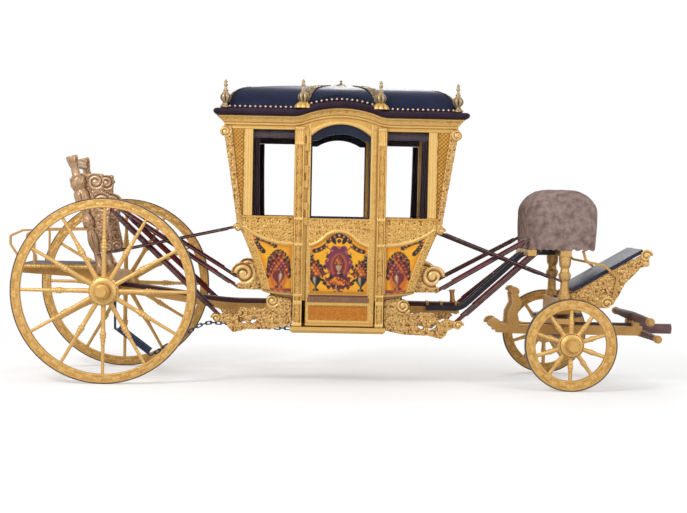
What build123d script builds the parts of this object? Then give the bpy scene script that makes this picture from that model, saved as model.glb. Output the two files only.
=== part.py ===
"""A gilded horse-drawn state coach: a closed body slung on leather straps between a rear carriage with
high wheels and a front carriage that steers on a kingpin.

Millimetres. X runs forward, Y to the coach's left, Z up. The origin is on the ground, on the centre line,
midway between the back of the grab rails and the tip of the pole.
"""

import os
from math import cos, radians, sin

from build123d import *

# Running gear
OVERALL_LENGTH = 6540
TRACK = 1600
REAR_AXLE_X = -2300
FRONT_AXLE_X = 2125
REAR_WHEEL_R = 875
FRONT_WHEEL_R = 440
TYRE_THICK = 10
TYRE_WIDTH = 58
AXLE_ARM_R = 34
PERCH_Z = 725
PERCH_HIGH = 110
PERCH_WIDE = 110
POLE_R = 54
POLE_PIN_R = 50
POLE_PIN_LONG = 240
POLE_Z = 550

# Body, measured from its own middle
BODY_X = -90
BODY_TOP_Z = 2468
WAIST_Z = 1540
FOOT_Z = 890
BELLY_Z = 790
BODY_TOP_HALF = 1095
WAIST_HALF = 960
FOOT_HALF = 716
HALF_WIDTH = 700
FOOT_HALF_WIDTH = 640
WALL = 40
ARCH_HALF = 400
ARCH_RISE = 85
ROOF_TOP_Z = 2900

# Doors
DOOR_HALF = 312
DOOR_FOOT_Z = 590
DOOR_HEAD_Z = 2460
DOOR_HEAD_RISE = 64
DOOR_STILE = 28
LIGHT_HEAD_Z = 2375
LIGHT_RISE = 115
DOOR_LOCK_GAP = 18
LIP_THICK = 12
LIP_LAP = 12
SASH = 12

# Windows
SILL_Z = 1612
WINDOW_HEAD_Z = 2430
WINDOW_NEAR = 438
WINDOW_FAR = 834

# Fits
SEAT = 0.3
RUN = 0.08
SWING = 6
REACH = 4000

LONG = Plane(origin=(BODY_X, 0, 0), x_dir=(1, 0, 0), z_dir=(0, -1, 0))
CROSS = Plane(origin=(BODY_X, 0, 0), x_dir=(0, 1, 0), z_dir=(1, 0, 0))
ENDS = (-1, 1)
SIDES = (-1, 1)

os.makedirs("parts", exist_ok=True)


def keep(piece, name):
    """Labels a finished piece and writes its file."""
    piece.label = name
    export_step(piece, f"parts/{name}.step")
    return piece


def joined(*pieces):
    """Several solids of one node, fused where they meet."""
    with BuildPart() as made:
        for piece in pieces:
            add(piece)
    return made.part


def less(piece, *cutters):
    """The piece with room cut for what it is seated on."""
    with BuildPart() as made:
        add(piece)
        for cutter in cutters:
            add(cutter, mode=Mode.SUBTRACT)
    return made.part


def board(outline, y, thick, about_x=0):
    """A board that stands fore and aft: an outline in X and Z, centred on y."""
    with BuildPart() as made:
        with BuildSketch(Plane(origin=(about_x, y, 0), x_dir=(1, 0, 0), z_dir=(0, -1, 0))):
            add(outline)
        extrude(amount=thick / 2, both=True)
    return made.part


def polygon(points):
    """A closed flat outline through points, in the sketch's own axes."""
    with BuildSketch() as made:
        with BuildLine():
            Polyline(*points, close=True)
        make_face()
    return made.sketch


def band(points, wide, bend=0):
    """A strip of even width along straight runs, whose corners are rounded by bend."""
    with BuildSketch() as made:
        with BuildLine() as route:
            if bend:
                FilletPolyline(*points, radius=bend)
            else:
                Polyline(*points)
        trace(route.line, line_width=wide)
    return made.sketch


def half_ring(centre, outer, inner, up):
    """Half of a flat ring, above its centre if up is 1, or below it if up is -1."""
    with BuildSketch() as made:
        with Locations(centre):
            Circle(outer)
            Circle(inner, mode=Mode.SUBTRACT)
        with Locations((centre[0], centre[1] + up * outer)):
            Rectangle(2 * outer + 1, 2 * outer, mode=Mode.INTERSECT)
    return made.sketch


def volute(centre, radius, turn, wide=0.4, turns=3):
    """A scroll of half rings that shrink about two centres, round an eye. turn is 1 or -1."""
    step = radius * 0.24
    halves = []
    for half in range(turns):
        up = 1 if half % 2 == 0 else -1
        outer = radius - half * step
        at = (centre[0] + turn * up * step / 2, centre[1])
        halves.append(half_ring(at, outer, outer * (1 - wide), up))
    with BuildSketch() as made:
        for half in halves:
            add(half)
        with Locations(centre):
            Circle(radius * 0.32)
    return made.sketch


def turned(foot, head, profile):
    """A turned post from foot to head. profile lists (share of its length, radius)."""
    foot, head = Vector(*foot), Vector(*head)
    rise = head - foot
    beside = Vector(0, 0, 1) if abs(rise.Y) > abs(rise.Z) else Vector(0, 1, 0)
    plane = Plane(origin=foot, x_dir=rise.normalized(), z_dir=rise.cross(beside).normalized())
    with BuildPart() as made:
        with BuildSketch(plane):
            with BuildLine():
                outline = [(share * rise.length, radius) for share, radius in profile]
                Polyline((outline[0][0], 0), *outline, (outline[-1][0], 0), close=True)
            make_face()
        revolve(axis=Axis(foot, rise))
    return made.part


def strap(start, end, wide, thick, lift=0):
    """A flat leather strap pulled tight from start to end, lifted off that line by lift."""
    start, end = Vector(*start), Vector(*end)
    along = (end - start).normalized()
    across = (Vector(0, 1, 0) - along * along.Y).normalized()
    up = along.cross(across)
    if up.Z < 0:
        up = up * -1
    with BuildPart() as made:
        with BuildSketch(Plane(origin=start + up * lift, x_dir=across, z_dir=along)):
            Rectangle(wide, thick)
        extrude(amount=(end - start).length)
    return made.part


# Wheels: an iron tyre shrunk on, felloes, turned spokes and a nave that runs on the axle arm
NAVE_LONG = 290
NAVE_INNER = 140
REAR_WHEEL = {
    "spokes": 12,
    "felloe_deep": 82,
    "felloe_wide": 62,
    "nave": ((85, -140), (105, -75), (138, -48), (138, 44), (104, 58), (80, 96), (80, 150)),
    "spoke": ((120, 23), (385, 21), (398, 30), (440, 29), (540, 18), (0, 16)),
}
FRONT_WHEEL = {
    "spokes": 10,
    "felloe_deep": 92,
    "felloe_wide": 62,
    "nave": ((80, -140), (96, -70), (122, -45), (122, 42), (92, 56), (66, 92), (66, 150)),
    "spoke": ((100, 22), (190, 20), (200, 27), (225, 25), (0, 19)),
}


def wheel(side, x, radius, form):
    """The felloes, spokes and nave of one wheel, and its tyre."""
    centre = Vector(x, side * TRACK / 2, radius)
    section = Plane(origin=centre, x_dir=(1, 0, 0), z_dir=(0, 0, side))
    axle = Axis(centre, (0, side, 0))
    rim_out = radius - TYRE_THICK - SEAT
    rim_in = rim_out - form["felloe_deep"]
    half = form["felloe_wide"] / 2
    chamfered = half * 0.75
    ease = half * 0.25
    bore = AXLE_ARM_R + RUN
    with BuildPart() as spoke:
        with BuildSketch(section):
            points = [(reach or rim_in + 20, thick) for reach, thick in form["spoke"]]
            with BuildLine():
                Polyline((points[0][0], 0), *points, (points[-1][0], 0), close=True)
            make_face()
        revolve(axis=Axis(centre, (1, 0, 0)))
    with BuildPart() as body:
        with BuildSketch(section):
            with BuildLine():
                Polyline(
                    (rim_in, -chamfered), (rim_in + ease, -half), (rim_out, -half), (rim_out, half),
                    (rim_in + ease, half), (rim_in, chamfered), close=True,
                )
            make_face()
        revolve(axis=axle)
        with BuildSketch(section):
            nave = form["nave"]
            with BuildLine():
                Polyline((0, nave[0][1]), *nave, (0, nave[-1][1]), close=True)
            make_face()
        revolve(axis=axle)
        for number in range(form["spokes"]):
            add(spoke.part.rotate(axle, 90 + number * 360 / form["spokes"]))
        with BuildSketch(section):
            with Locations((bore / 2, 0)):
                Rectangle(bore, 2 * NAVE_LONG)
        revolve(axis=axle, mode=Mode.SUBTRACT)
    with BuildPart() as tyre:
        with BuildSketch(section):
            with Locations((radius - TYRE_THICK / 2, 0)):
                Rectangle(TYRE_THICK, TYRE_WIDTH)
        revolve(axis=axle)
    return body.part, tyre.part


for side, hand in ((-1, "right"), (1, "left")):
    rear_body, rear_tyre = wheel(side, REAR_AXLE_X, REAR_WHEEL_R, REAR_WHEEL)
    keep(rear_body, f"rear_wheel_{hand}")
    keep(rear_tyre, f"rear_tyre_{hand}")
    front_body, front_tyre = wheel(side, FRONT_AXLE_X, FRONT_WHEEL_R, FRONT_WHEEL)
    keep(front_body, f"front_wheel_{hand}")
    keep(front_tyre, f"front_tyre_{hand}")


# Axles: a bed between the wheels, an arm through each nave and an eight-sided nut outside it
BED_WIDE = 110
REAR_BED_HIGH = 120
FRONT_BED_HIGH = 100
BED_END = TRACK / 2 - NAVE_INNER - 10
NUT_AT = TRACK / 2 + 150 + 3
NUT_LONG = 30
NUT_R = 52


def axle(x, z, high):
    """An axle bed with its two arms and nuts."""
    across = Plane(origin=(x, 0, z), x_dir=(1, 0, 0), z_dir=(0, -1, 0))
    with BuildPart() as made:
        with BuildSketch(across):
            Rectangle(BED_WIDE, high)
        extrude(amount=BED_END, both=True)
        chamfer(made.edges().filter_by(Axis.Y), high * 0.14)
        with BuildSketch(across):
            Circle(AXLE_ARM_R)
        extrude(amount=NUT_AT + NUT_LONG / 2, both=True)
        for side in SIDES:
            with BuildSketch(across.offset(-side * NUT_AT)):
                RegularPolygon(NUT_R, 8)
            extrude(amount=-side * NUT_LONG)
    return made.part


rear_axle = keep(axle(REAR_AXLE_X, REAR_WHEEL_R, REAR_BED_HIGH), "rear_axle")
front_axle = axle(FRONT_AXLE_X, FRONT_WHEEL_R, FRONT_BED_HIGH)

# Body shell: sides that turn under, ends that rake, a raised arch over each door


def arched_top(z, half, rise):
    """A top line that lifts into an arch at its middle, as lines and an arc of the current BuildLine."""
    Line((-half, z), (-ARCH_HALF, z))
    ThreePointArc((-ARCH_HALF, z), (0, z + rise), (ARCH_HALF, z))
    Line((ARCH_HALF, z), (half, z))


def side_outline(grow=0):
    """The body as it is seen from the side."""
    with BuildSketch() as made:
        with BuildLine():
            arched_top(BODY_TOP_Z, BODY_TOP_HALF, ARCH_RISE)
            Line((BODY_TOP_HALF, BODY_TOP_Z), (WAIST_HALF, WAIST_Z))
            ThreePointArc((WAIST_HALF, WAIST_Z), (806, 1180), (FOOT_HALF, FOOT_Z))
            ThreePointArc((FOOT_HALF, FOOT_Z), (0, BELLY_Z), (-FOOT_HALF, FOOT_Z))
            ThreePointArc((-FOOT_HALF, FOOT_Z), (-806, 1180), (-WAIST_HALF, WAIST_Z))
            Line((-WAIST_HALF, WAIST_Z), (-BODY_TOP_HALF, BODY_TOP_Z))
        make_face()
        if grow:
            offset(amount=grow, kind=Kind.INTERSECTION)
    return made.sketch


def cross_outline(grow=0):
    """The body as it is seen from an end, open above and below."""
    low, high = 300, 3200
    wide, foot = HALF_WIDTH + grow, FOOT_HALF_WIDTH + grow
    with BuildSketch() as made:
        with BuildLine():
            for hand in SIDES:
                Line((hand * wide, high), (hand * wide, WAIST_Z))
                ThreePointArc(
                    (hand * wide, WAIST_Z), (hand * (wide - 13), 1180), (hand * foot, 760)
                )
                Line((hand * foot, 760), (hand * foot, low))
            Line((-wide, high), (wide, high))
            Line((-foot, low), (foot, low))
        make_face()
    return made.sketch


def side_shell(outline, side, inner, outer):
    """A panel that follows the body's side: its outline, from inner to outer beyond the body's face."""
    with BuildPart() as made:
        with BuildSketch(CROSS):
            add(cross_outline(outer))
            add(cross_outline(inner), mode=Mode.SUBTRACT)
            with Locations((side * HALF_WIDTH, 1700)):
                Rectangle(HALF_WIDTH, 2600, mode=Mode.INTERSECT)
        extrude(amount=REACH / 2, both=True)
        with BuildSketch(LONG):
            add(outline)
        extrude(amount=REACH / 2, both=True, mode=Mode.INTERSECT)
    return made.part


def envelope(grow):
    """The whole closed body, larger by grow."""
    with BuildPart() as made:
        with BuildSketch(CROSS):
            add(cross_outline(grow))
        extrude(amount=REACH / 2, both=True)
        with BuildSketch(LONG):
            add(side_outline(grow))
        extrude(amount=REACH / 2, both=True, mode=Mode.INTERSECT)
    return made.part


def door_outline(grow_rear=0, grow_front=0, grow_edges=0):
    """A door's own outline, larger by so much at its rear, its front and its head and foot."""
    rear, front = -DOOR_HALF - grow_rear, DOOR_HALF + grow_front
    foot, head = DOOR_FOOT_Z - grow_edges, DOOR_HEAD_Z + grow_edges
    with BuildSketch() as made:
        with BuildLine():
            Polyline((rear, head), (rear, foot), (front, foot), (front, head))
            ThreePointArc((front, head), (0, head + DOOR_HEAD_RISE), (rear, head))
        make_face()
    return made.sketch


def door_window(grow=0):
    """The arched light of a door."""
    half, sill, head = DOOR_HALF - DOOR_STILE + grow, SILL_Z - 14 - grow, LIGHT_HEAD_Z + grow
    with BuildSketch() as made:
        with BuildLine():
            Polyline((-half, head), (-half, sill), (half, sill), (half, head))
            ThreePointArc((half, head), (0, head + LIGHT_RISE), (-half, head))
        make_face()
    return made.sketch


def door_light(grow=0):
    """The pane of a door, inside its sash, whose head is a deep rail that is arched between two shoulders."""
    half = DOOR_HALF - DOOR_STILE - SASH + grow
    sill, head = SILL_Z - 14 + SASH - grow, LIGHT_HEAD_Z - 42 + grow
    shoulder = half - 50
    with BuildSketch() as made:
        with BuildLine():
            Polyline((-shoulder, head), (-half, head), (-half, sill), (half, sill), (half, head),
                     (shoulder, head))
            ThreePointArc((shoulder, head), (0, head + 66), (-shoulder, head))
        make_face()
    return made.sketch


def ogee(foot, head, half):
    """The line of the moulding over a door's painted panel: it sweeps up from each side to an arch."""
    turn_x, turn_z = half * 0.52, (foot + head) / 2
    with BuildSketch() as made:
        with BuildLine() as route:
            ThreePointArc((-half, foot), (-half * 0.76, foot + (turn_z - foot) * 0.32), (-turn_x, turn_z))
            ThreePointArc((-turn_x, turn_z), (0, head), (turn_x, turn_z))
            ThreePointArc((turn_x, turn_z), (half * 0.76, foot + (turn_z - foot) * 0.32), (half, foot))
        trace(route.line, line_width=MOULD)
    return made.sketch


def quarter_window(end):
    """The square light beside a door."""
    with BuildSketch() as made:
        with Locations((end * (WINDOW_NEAR + WINDOW_FAR) / 2, (SILL_Z + WINDOW_HEAD_Z) / 2)):
            Rectangle(WINDOW_FAR - WINDOW_NEAR, WINDOW_HEAD_Z - SILL_Z)
    return made.sketch


def cut(outline, *holes):
    """An outline with holes."""
    with BuildSketch() as made:
        add(outline)
        for hole in holes:
            add(hole, mode=Mode.SUBTRACT)
    return made.sketch


shell = envelope(SEAT)
doorway = door_outline(SWING, DOOR_LOCK_GAP, SWING)
side_face = cut(side_outline(), doorway, quarter_window(-1), quarter_window(1))
for side, hand in ((-1, "right"), (1, "left")):
    keep(side_shell(side_face, side, -WALL, 0), f"body_side_{hand}")

# Panes of the quarter lights
panes = []
for side in SIDES:
    for end in ENDS:
        with BuildSketch() as light:
            add(quarter_window(end))
            offset(amount=-SEAT, kind=Kind.INTERSECTION)
        panes.append(side_shell(light.sketch, side, -24, -19))
keep(joined(*panes), "quarter_glass")

# End walls fill the body between its sides; the front one has a light
for end, name in ((1, "body_front_wall"), (-1, "body_rear_wall")):
    with BuildPart() as wall:
        with BuildSketch(LONG):
            add(cut(side_outline(), side_outline(-WALL)))
            with Locations((end * BODY_TOP_HALF, 1720)):
                Rectangle(2 * BODY_TOP_HALF - 2 * (FOOT_HALF - WALL), 1680, mode=Mode.INTERSECT)
            with Locations((0, BODY_TOP_Z)):
                Rectangle(2 * BODY_TOP_HALF - 130, 2 * WALL, mode=Mode.SUBTRACT)
        extrude(amount=REACH / 2, both=True)
        with BuildSketch(CROSS):
            add(cross_outline(-WALL - SEAT))
        extrude(amount=REACH / 2, both=True, mode=Mode.INTERSECT)
        if end == 1:
            with BuildSketch(CROSS):
                with Locations((0, (1660 + 2400) / 2)):
                    Rectangle(900, 2400 - 1660)
            extrude(amount=REACH / 2, mode=Mode.SUBTRACT)
    keep(wall.part, name)

# Floor: boards that follow the belly between the end walls, with a step well let down inside each door
FLOOR_TOP = FOOT_Z
WELL_HALF = 395
WELL_IN = 250
WELL_FOOT_Z = 560
WELL_WALL = 30
floor_wide = FOOT_HALF_WIDTH - WALL - SWING
with BuildPart() as floor:
    with BuildSketch(LONG):
        add(cut(side_outline(), side_outline(-WALL)))
        with Locations((0, FOOT_Z)):
            Rectangle(2 * (FOOT_HALF - WALL - SEAT), 2 * WALL + 120, mode=Mode.INTERSECT)
    extrude(amount=floor_wide, both=True)
    with BuildSketch(LONG):
        with Locations((0, (FLOOR_TOP + WELL_FOOT_Z) / 2)):
            Rectangle(2 * WELL_HALF, FLOOR_TOP - WELL_FOOT_Z)
    extrude(amount=floor_wide, both=True)
    with BuildSketch(Plane(origin=(BODY_X, 0, WELL_FOOT_Z - 5))):
        Rectangle(2 * WELL_HALF + 4, 2 * WELL_IN)
    extrude(amount=BELLY_Z - WELL_FOOT_Z + 5, mode=Mode.SUBTRACT)
    with BuildSketch(Plane(origin=(BODY_X, 0, BELLY_Z + WELL_WALL))):
        Rectangle(2 * (WELL_HALF - WELL_WALL), 2 * WELL_IN)
    extrude(amount=200, mode=Mode.SUBTRACT)
    for side in SIDES:
        inner, outer = WELL_IN + WELL_WALL, floor_wide + 50
        with BuildSketch(Plane(origin=(BODY_X, side * (inner + outer) / 2, WELL_FOOT_Z + WELL_WALL))):
            Rectangle(2 * (WELL_HALF - WELL_WALL), outer - inner)
        extrude(amount=FLOOR_TOP - WELL_FOOT_Z, mode=Mode.SUBTRACT)
floor_part = less(floor.part, *(side_shell(side_outline(SEAT), side, -WALL - SEAT, 0) for side in SIDES))
keep(floor_part, "body_floor")

# Benches and their upholstery
BENCH_HIGH = 1080
BENCH_FACE = 420
CUSHION = 120
benches, cushions, backs = [], [], []
for end in ENDS:
    foot, face = end * (FOOT_HALF - WALL - 40), end * BENCH_FACE
    benches.append(board(
        polygon([(foot, FLOOR_TOP + 12), (face, FLOOR_TOP + 12), (face, BENCH_HIGH),
                 (foot + end * 60, BENCH_HIGH)]),
        0, 2 * (FOOT_HALF_WIDTH - WALL) - 20, BODY_X))
    cushions.append(board(
        polygon([(face - end * 30, BENCH_HIGH + SEAT), (foot + end * 55, BENCH_HIGH + SEAT),
                 (foot + end * 85, BENCH_HIGH + CUSHION), (face - end * 30, BENCH_HIGH + CUSHION)]),
        0, 2 * (FOOT_HALF_WIDTH - WALL) - 20, BODY_X))
    back_foot, waist = BENCH_HIGH + CUSHION + SEAT, end * (WAIST_HALF - WALL)
    backs.append(board(
        polygon([(foot + end * 88, back_foot), (waist - end * 8, WAIST_Z),
                 (waist - end * 70, WAIST_Z), (foot - end * 10, back_foot)]),
        0, 2 * (HALF_WIDTH - WALL) - 90, BODY_X))
keep(less(joined(*benches), floor_part), "benches")
keep(joined(*cushions), "seat_cushions")
keep(joined(*backs), "back_cushions")

# Curtains hang inside the outer edge of each quarter light, under a rolled blind across its head
CURTAIN_WIDE, CURTAIN_DEEP = 70, 40
BLIND_DROP, BLIND_DEEP = 84, 24
curtains = []
for end in ENDS:
    for side in SIDES:
        inside = side * (HALF_WIDTH - WALL - SEAT)
        at_x = BODY_X + end * (WINDOW_FAR - CURTAIN_WIDE / 2 + 2)
        blind_foot = WINDOW_HEAD_Z - BLIND_DROP
        with BuildPart() as curtain:
            with BuildSketch(Plane(origin=(at_x, inside - side * CURTAIN_DEEP / 2, SILL_Z - 15))):
                Rectangle(CURTAIN_WIDE, CURTAIN_DEEP)
            extrude(amount=blind_foot - SILL_Z + 15)
            with BuildSketch(Plane(origin=(BODY_X + end * (WINDOW_NEAR + WINDOW_FAR) / 2,
                                           inside - side * BLIND_DEEP / 2, blind_foot))):
                Rectangle(WINDOW_FAR - WINDOW_NEAR + 20, BLIND_DEEP)
            extrude(amount=BLIND_DROP + 10)
        curtains.append(curtain.part)
keep(joined(*curtains), "curtains")

# Doors: each hangs on three knuckles at its rear edge and laps over its lock pillar
HINGE_AT = HALF_WIDTH + LIP_THICK + 14
HINGE_R = 11
HINGE_PIN_R = 5
HINGE_ZS = (1640, 1990, 2340)
KNUCKLE = 70
HANDLE_OUT = 53
hinge_x = BODY_X - DOOR_HALF - SWING / 2


def hinge(side, z, on_door):
    """The door's middle knuckle with its leaf, or the pillar's two outer knuckles with the pin."""
    pin = Plane(origin=(hinge_x, side * HINGE_AT, z), x_dir=(1, 0, 0), z_dir=(0, 0, 1))
    with BuildPart() as made:
        for low in ((-KNUCKLE / 2,) if on_door else (-1.5 * KNUCKLE - 1, KNUCKLE / 2 + 1)):
            with BuildSketch(pin.offset(low)):
                Circle(HINGE_R)
                with Locations(((1 if on_door else -1) * 15, -side * 7)):
                    Rectangle(30, 14)
            extrude(amount=KNUCKLE)
            if on_door:
                with BuildSketch(pin.offset(low)):
                    Circle(HINGE_PIN_R + RUN)
                extrude(amount=KNUCKLE, mode=Mode.SUBTRACT)
        if not on_door:
            with BuildSketch(pin.offset(-1.5 * KNUCKLE - 1)):
                Circle(HINGE_PIN_R)
            extrude(amount=3 * KNUCKLE + 2)
    return made.part


MOULD = 26
MOULD_THICK = 14
door_face = cut(door_outline(), door_window())
lip_face = cut(door_outline(0, DOOR_LOCK_GAP + LIP_LAP, SWING + LIP_LAP), door_outline(-26, -26, -26))
for side, hand in ((-1, "right"), (1, "left")):
    slab = side_shell(door_face, side, -WALL, 0)
    lip = side_shell(cut(lip_face, door_window()), side, 0, LIP_THICK)
    knuckles = [hinge(side, z, True) for z in HINGE_ZS]
    arch = side_shell(ogee(1340, 1480, DOOR_HALF - 20), side, 0, MOULD_THICK)
    with BuildSketch() as foot_rail:
        with Locations((0, 805)):
            Rectangle(2 * DOOR_HALF - 40, 80)
    rail = side_shell(foot_rail.sketch, side, 0, MOULD_THICK)
    stem = Plane(origin=(BODY_X + DOOR_HALF - 60, side * (HALF_WIDTH - 8), 1520), x_dir=(1, 0, 0),
                 z_dir=(0, side, 0))
    with BuildPart() as handle:
        with BuildSketch(stem):
            Circle(9)
        extrude(amount=HANDLE_OUT)
        with BuildSketch(stem.offset(HANDLE_OUT)):
            SlotOverall(90, 16)
        extrude(amount=12)
    keep(joined(slab, lip, arch, rail, *knuckles, handle.part), f"door_{hand}")
    keep(side_shell(cut(door_window(-SEAT), door_light()), side, -WALL + 8, -12), f"door_sash_{hand}")
    keep(side_shell(door_light(-SEAT), side, -24, -19), f"door_glass_{hand}")

# Front light: a pane in a dark sash
with BuildPart() as front_light:
    with BuildSketch(LONG):
        add(cut(side_outline(-8), side_outline(-WALL + 8)))
        with Locations((BODY_TOP_HALF, 2030)):
            Rectangle(BODY_TOP_HALF, 740 - 2 * SEAT, mode=Mode.INTERSECT)
    extrude(amount=450 - SEAT, both=True)
    with BuildSketch(CROSS):
        with Locations((0, 2030)):
            Rectangle(840, 680)
    extrude(amount=REACH / 2, mode=Mode.SUBTRACT)
keep(front_light.part, "front_sash")
with BuildPart() as front_pane:
    with BuildSketch(LONG):
        add(cut(side_outline(-18), side_outline(-23)))
        with Locations((BODY_TOP_HALF, 2030)):
            Rectangle(BODY_TOP_HALF, 680 - 2 * SEAT, mode=Mode.INTERSECT)
    extrude(amount=420 - SEAT, both=True)
keep(front_pane.part, "front_glass")

# Pilasters on the door pillars, with the fixed knuckles of the hinges
PILASTER_THICK = 34
PILASTER_OUT = 432
SILL_TOP = WELL_FOOT_Z - SEAT
pilasters = []
for side in SIDES:
    for end in ENDS:
        near = DOOR_HALF + (DOOR_LOCK_GAP + LIP_LAP + 12 if end > 0 else 34)
        strip = polygon([(end * near, SILL_TOP), (end * near, BODY_TOP_Z - 3),
                         (end * PILASTER_OUT, BODY_TOP_Z - 3), (end * PILASTER_OUT, SILL_TOP)])
        pilasters.append(side_shell(strip, side, SEAT, PILASTER_THICK))
    pilasters += [hinge(side, z, False) for z in HINGE_ZS]

# Sills under the doors: a moulded tread between the feet of the pilasters
SILL_FOOT = 502
SILL_LONG, SILL_DEEP = 912, 190
sills = []
for side in SIDES:
    with BuildPart() as sill:
        with BuildSketch(Plane(origin=(BODY_X, side * 600, SILL_FOOT), x_dir=(1, 0, 0), z_dir=(0, 0, 1))):
            Rectangle(SILL_LONG, SILL_DEEP)
        extrude(amount=SILL_TOP - SILL_FOOT)
        chamfer(sill.faces().sort_by(Axis.Z)[0].edges(), 24)
    sills.append(sill.part)
keep(joined(*pilasters, *sills), "door_surrounds")

# Raised mouldings that frame the painted panels of the sides
mouldings = []
for side in SIDES:
    for end in ENDS:
        with BuildSketch() as swept:
            with BuildLine() as route:
                ThreePointArc((end * 880, 1490), (end * 668, 1385), (end * 446, 1352))
            trace(route.line, line_width=MOULD)
        rail = polygon([(end * 446, SILL_Z - 62), (end * 446, SILL_Z - 30),
                        (end * 930, SILL_Z - 30), (end * 925, SILL_Z - 62)])
        mouldings.append(side_shell(swept.sketch, side, SEAT, MOULD_THICK))
        mouldings.append(side_shell(rail, side, SEAT, MOULD_THICK))


# Cornice: a gilded fascia in three steps under a dark crown, all lifted over the doors
def cornice_ring(low, high, over):
    """One course of the cornice, overhanging the body by over."""
    half, wide = BODY_TOP_HALF + over, HALF_WIDTH + over
    with BuildPart() as made:
        with BuildSketch(LONG):
            with BuildLine():
                arched_top(low, half, ARCH_RISE)
                Line((half, low), (half, high))
                arched_top(high, half, ARCH_RISE)
                Line((-half, high), (-half, low))
            make_face()
        extrude(amount=wide, both=True)
        with BuildSketch(Plane(origin=(BODY_X, 0, 0))):
            Rectangle(2 * (BODY_TOP_HALF - 60), 2 * (HALF_WIDTH - WALL))
        extrude(amount=REACH, mode=Mode.SUBTRACT)
        for end in made.faces().sort_by(Axis.X)[:1] + made.faces().sort_by(Axis.X)[-1:]:
            chamfer(end.edges().filter_by(Axis.Y), (high - low) * 0.22)
    return made.part


CROWN_Z = 2556
CROWN_TOP = 2622
CROWN_OVER = 108
FASCIA = (
    # foot, head, overhang
    (BODY_TOP_Z + SEAT, 2500, 16),
    (2500, 2530, 40),
    (2530, CROWN_Z, 66),
)
keep(joined(*(cornice_ring(*course) for course in FASCIA)), "cornice_fascia")
keep(cornice_ring(CROWN_Z + SEAT, CROWN_TOP, CROWN_OVER), "cornice_crown")

# Roof: a leather dome with hips, hollow, seated on the crown
ROOF_HALF = BODY_TOP_HALF + 40
ROOF_HALF_WIDTH = HALF_WIDTH + 40
ROOF_THICK = 36
KNEE_IN, KNEE_Z = 230, 2838
COVE_IN, COVE_Z = 80, 2745


def vault(half, shrink):
    """The curved top of a vault across a span of twice half: a cove up to a knee, then a flat arc."""
    foot, knee = half - shrink, half - KNEE_IN
    cove, cove_z = half - COVE_IN - shrink * 0.8, COVE_Z - shrink * 0.7
    knee_z, top = KNEE_Z - shrink, ROOF_TOP_Z - shrink
    with BuildSketch() as made:
        with BuildLine():
            Polyline((-foot, CROWN_TOP), (-foot, 2400), (foot, 2400), (foot, CROWN_TOP))
            ThreePointArc((foot, CROWN_TOP), (cove, cove_z), (knee, knee_z))
            ThreePointArc((knee, knee_z), (0, top), (-knee, knee_z))
            ThreePointArc((-knee, knee_z), (-cove, cove_z), (-foot, CROWN_TOP))
        make_face()
    return made.sketch


BROW_HALF = ARCH_HALF + 30
BROW_RISE = ARCH_RISE + 62


def dome(shrink):
    """The vault over the whole plan, with a raised brow over each door."""
    with BuildPart() as made:
        with BuildSketch(LONG):
            add(vault(ROOF_HALF, shrink))
        extrude(amount=REACH / 2, both=True)
        with BuildSketch(CROSS):
            add(vault(ROOF_HALF_WIDTH, shrink))
        extrude(amount=REACH / 2, both=True, mode=Mode.INTERSECT)
        with BuildSketch(LONG):
            half = BROW_HALF - shrink
            with BuildLine():
                Line((-half, CROWN_TOP), (half, CROWN_TOP))
                ThreePointArc((-half, CROWN_TOP), (0, CROWN_TOP + BROW_RISE - shrink), (half, CROWN_TOP))
            make_face()
        extrude(amount=ROOF_HALF_WIDTH - shrink - 4, both=True)
    return made.part


with BuildPart() as under_crown:
    with BuildSketch(LONG):
        with BuildLine():
            arched_top(CROWN_TOP + SEAT, REACH / 2, ARCH_RISE)
            Polyline((REACH / 2, CROWN_TOP + SEAT), (REACH / 2, 2000), (-REACH / 2, 2000),
                     (-REACH / 2, CROWN_TOP + SEAT))
        make_face()
    extrude(amount=REACH / 2, both=True)
outer_dome = dome(0)
roof = less(outer_dome, dome(ROOF_THICK), under_crown.part)
keep(roof, "roof")

# Ribs of gilt carving that climb from the corners to the ridge, and from the door pillars to the crown
RIB = 92
RIB_PROUD = 16
RIDGE_X = 645
MID_X = 366
APEX_HALF = 127
rib_stock = less(dome(-RIB_PROUD), dome(-SEAT), under_crown.part)
with BuildPart() as slabs:
    with BuildSketch(Plane(origin=(BODY_X, 0, 2400))):
        for end in ENDS:
            for foot, ridge in ((ROOF_HALF, RIDGE_X), (MID_X, APEX_HALF - RIB / 2)):
                for side in SIDES:
                    add(band([(end * foot, side * ROOF_HALF_WIDTH), (end * ridge, -side * RIB / 4)], RIB))
        Rectangle(2 * (APEX_HALF + SEAT), 2 * (APEX_HALF + SEAT), mode=Mode.SUBTRACT)
    extrude(amount=1000)
with BuildPart() as ribs:
    add(rib_stock)
    add(slabs.part, mode=Mode.INTERSECT)
keep(ribs.part, "roof_ribs")

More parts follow.
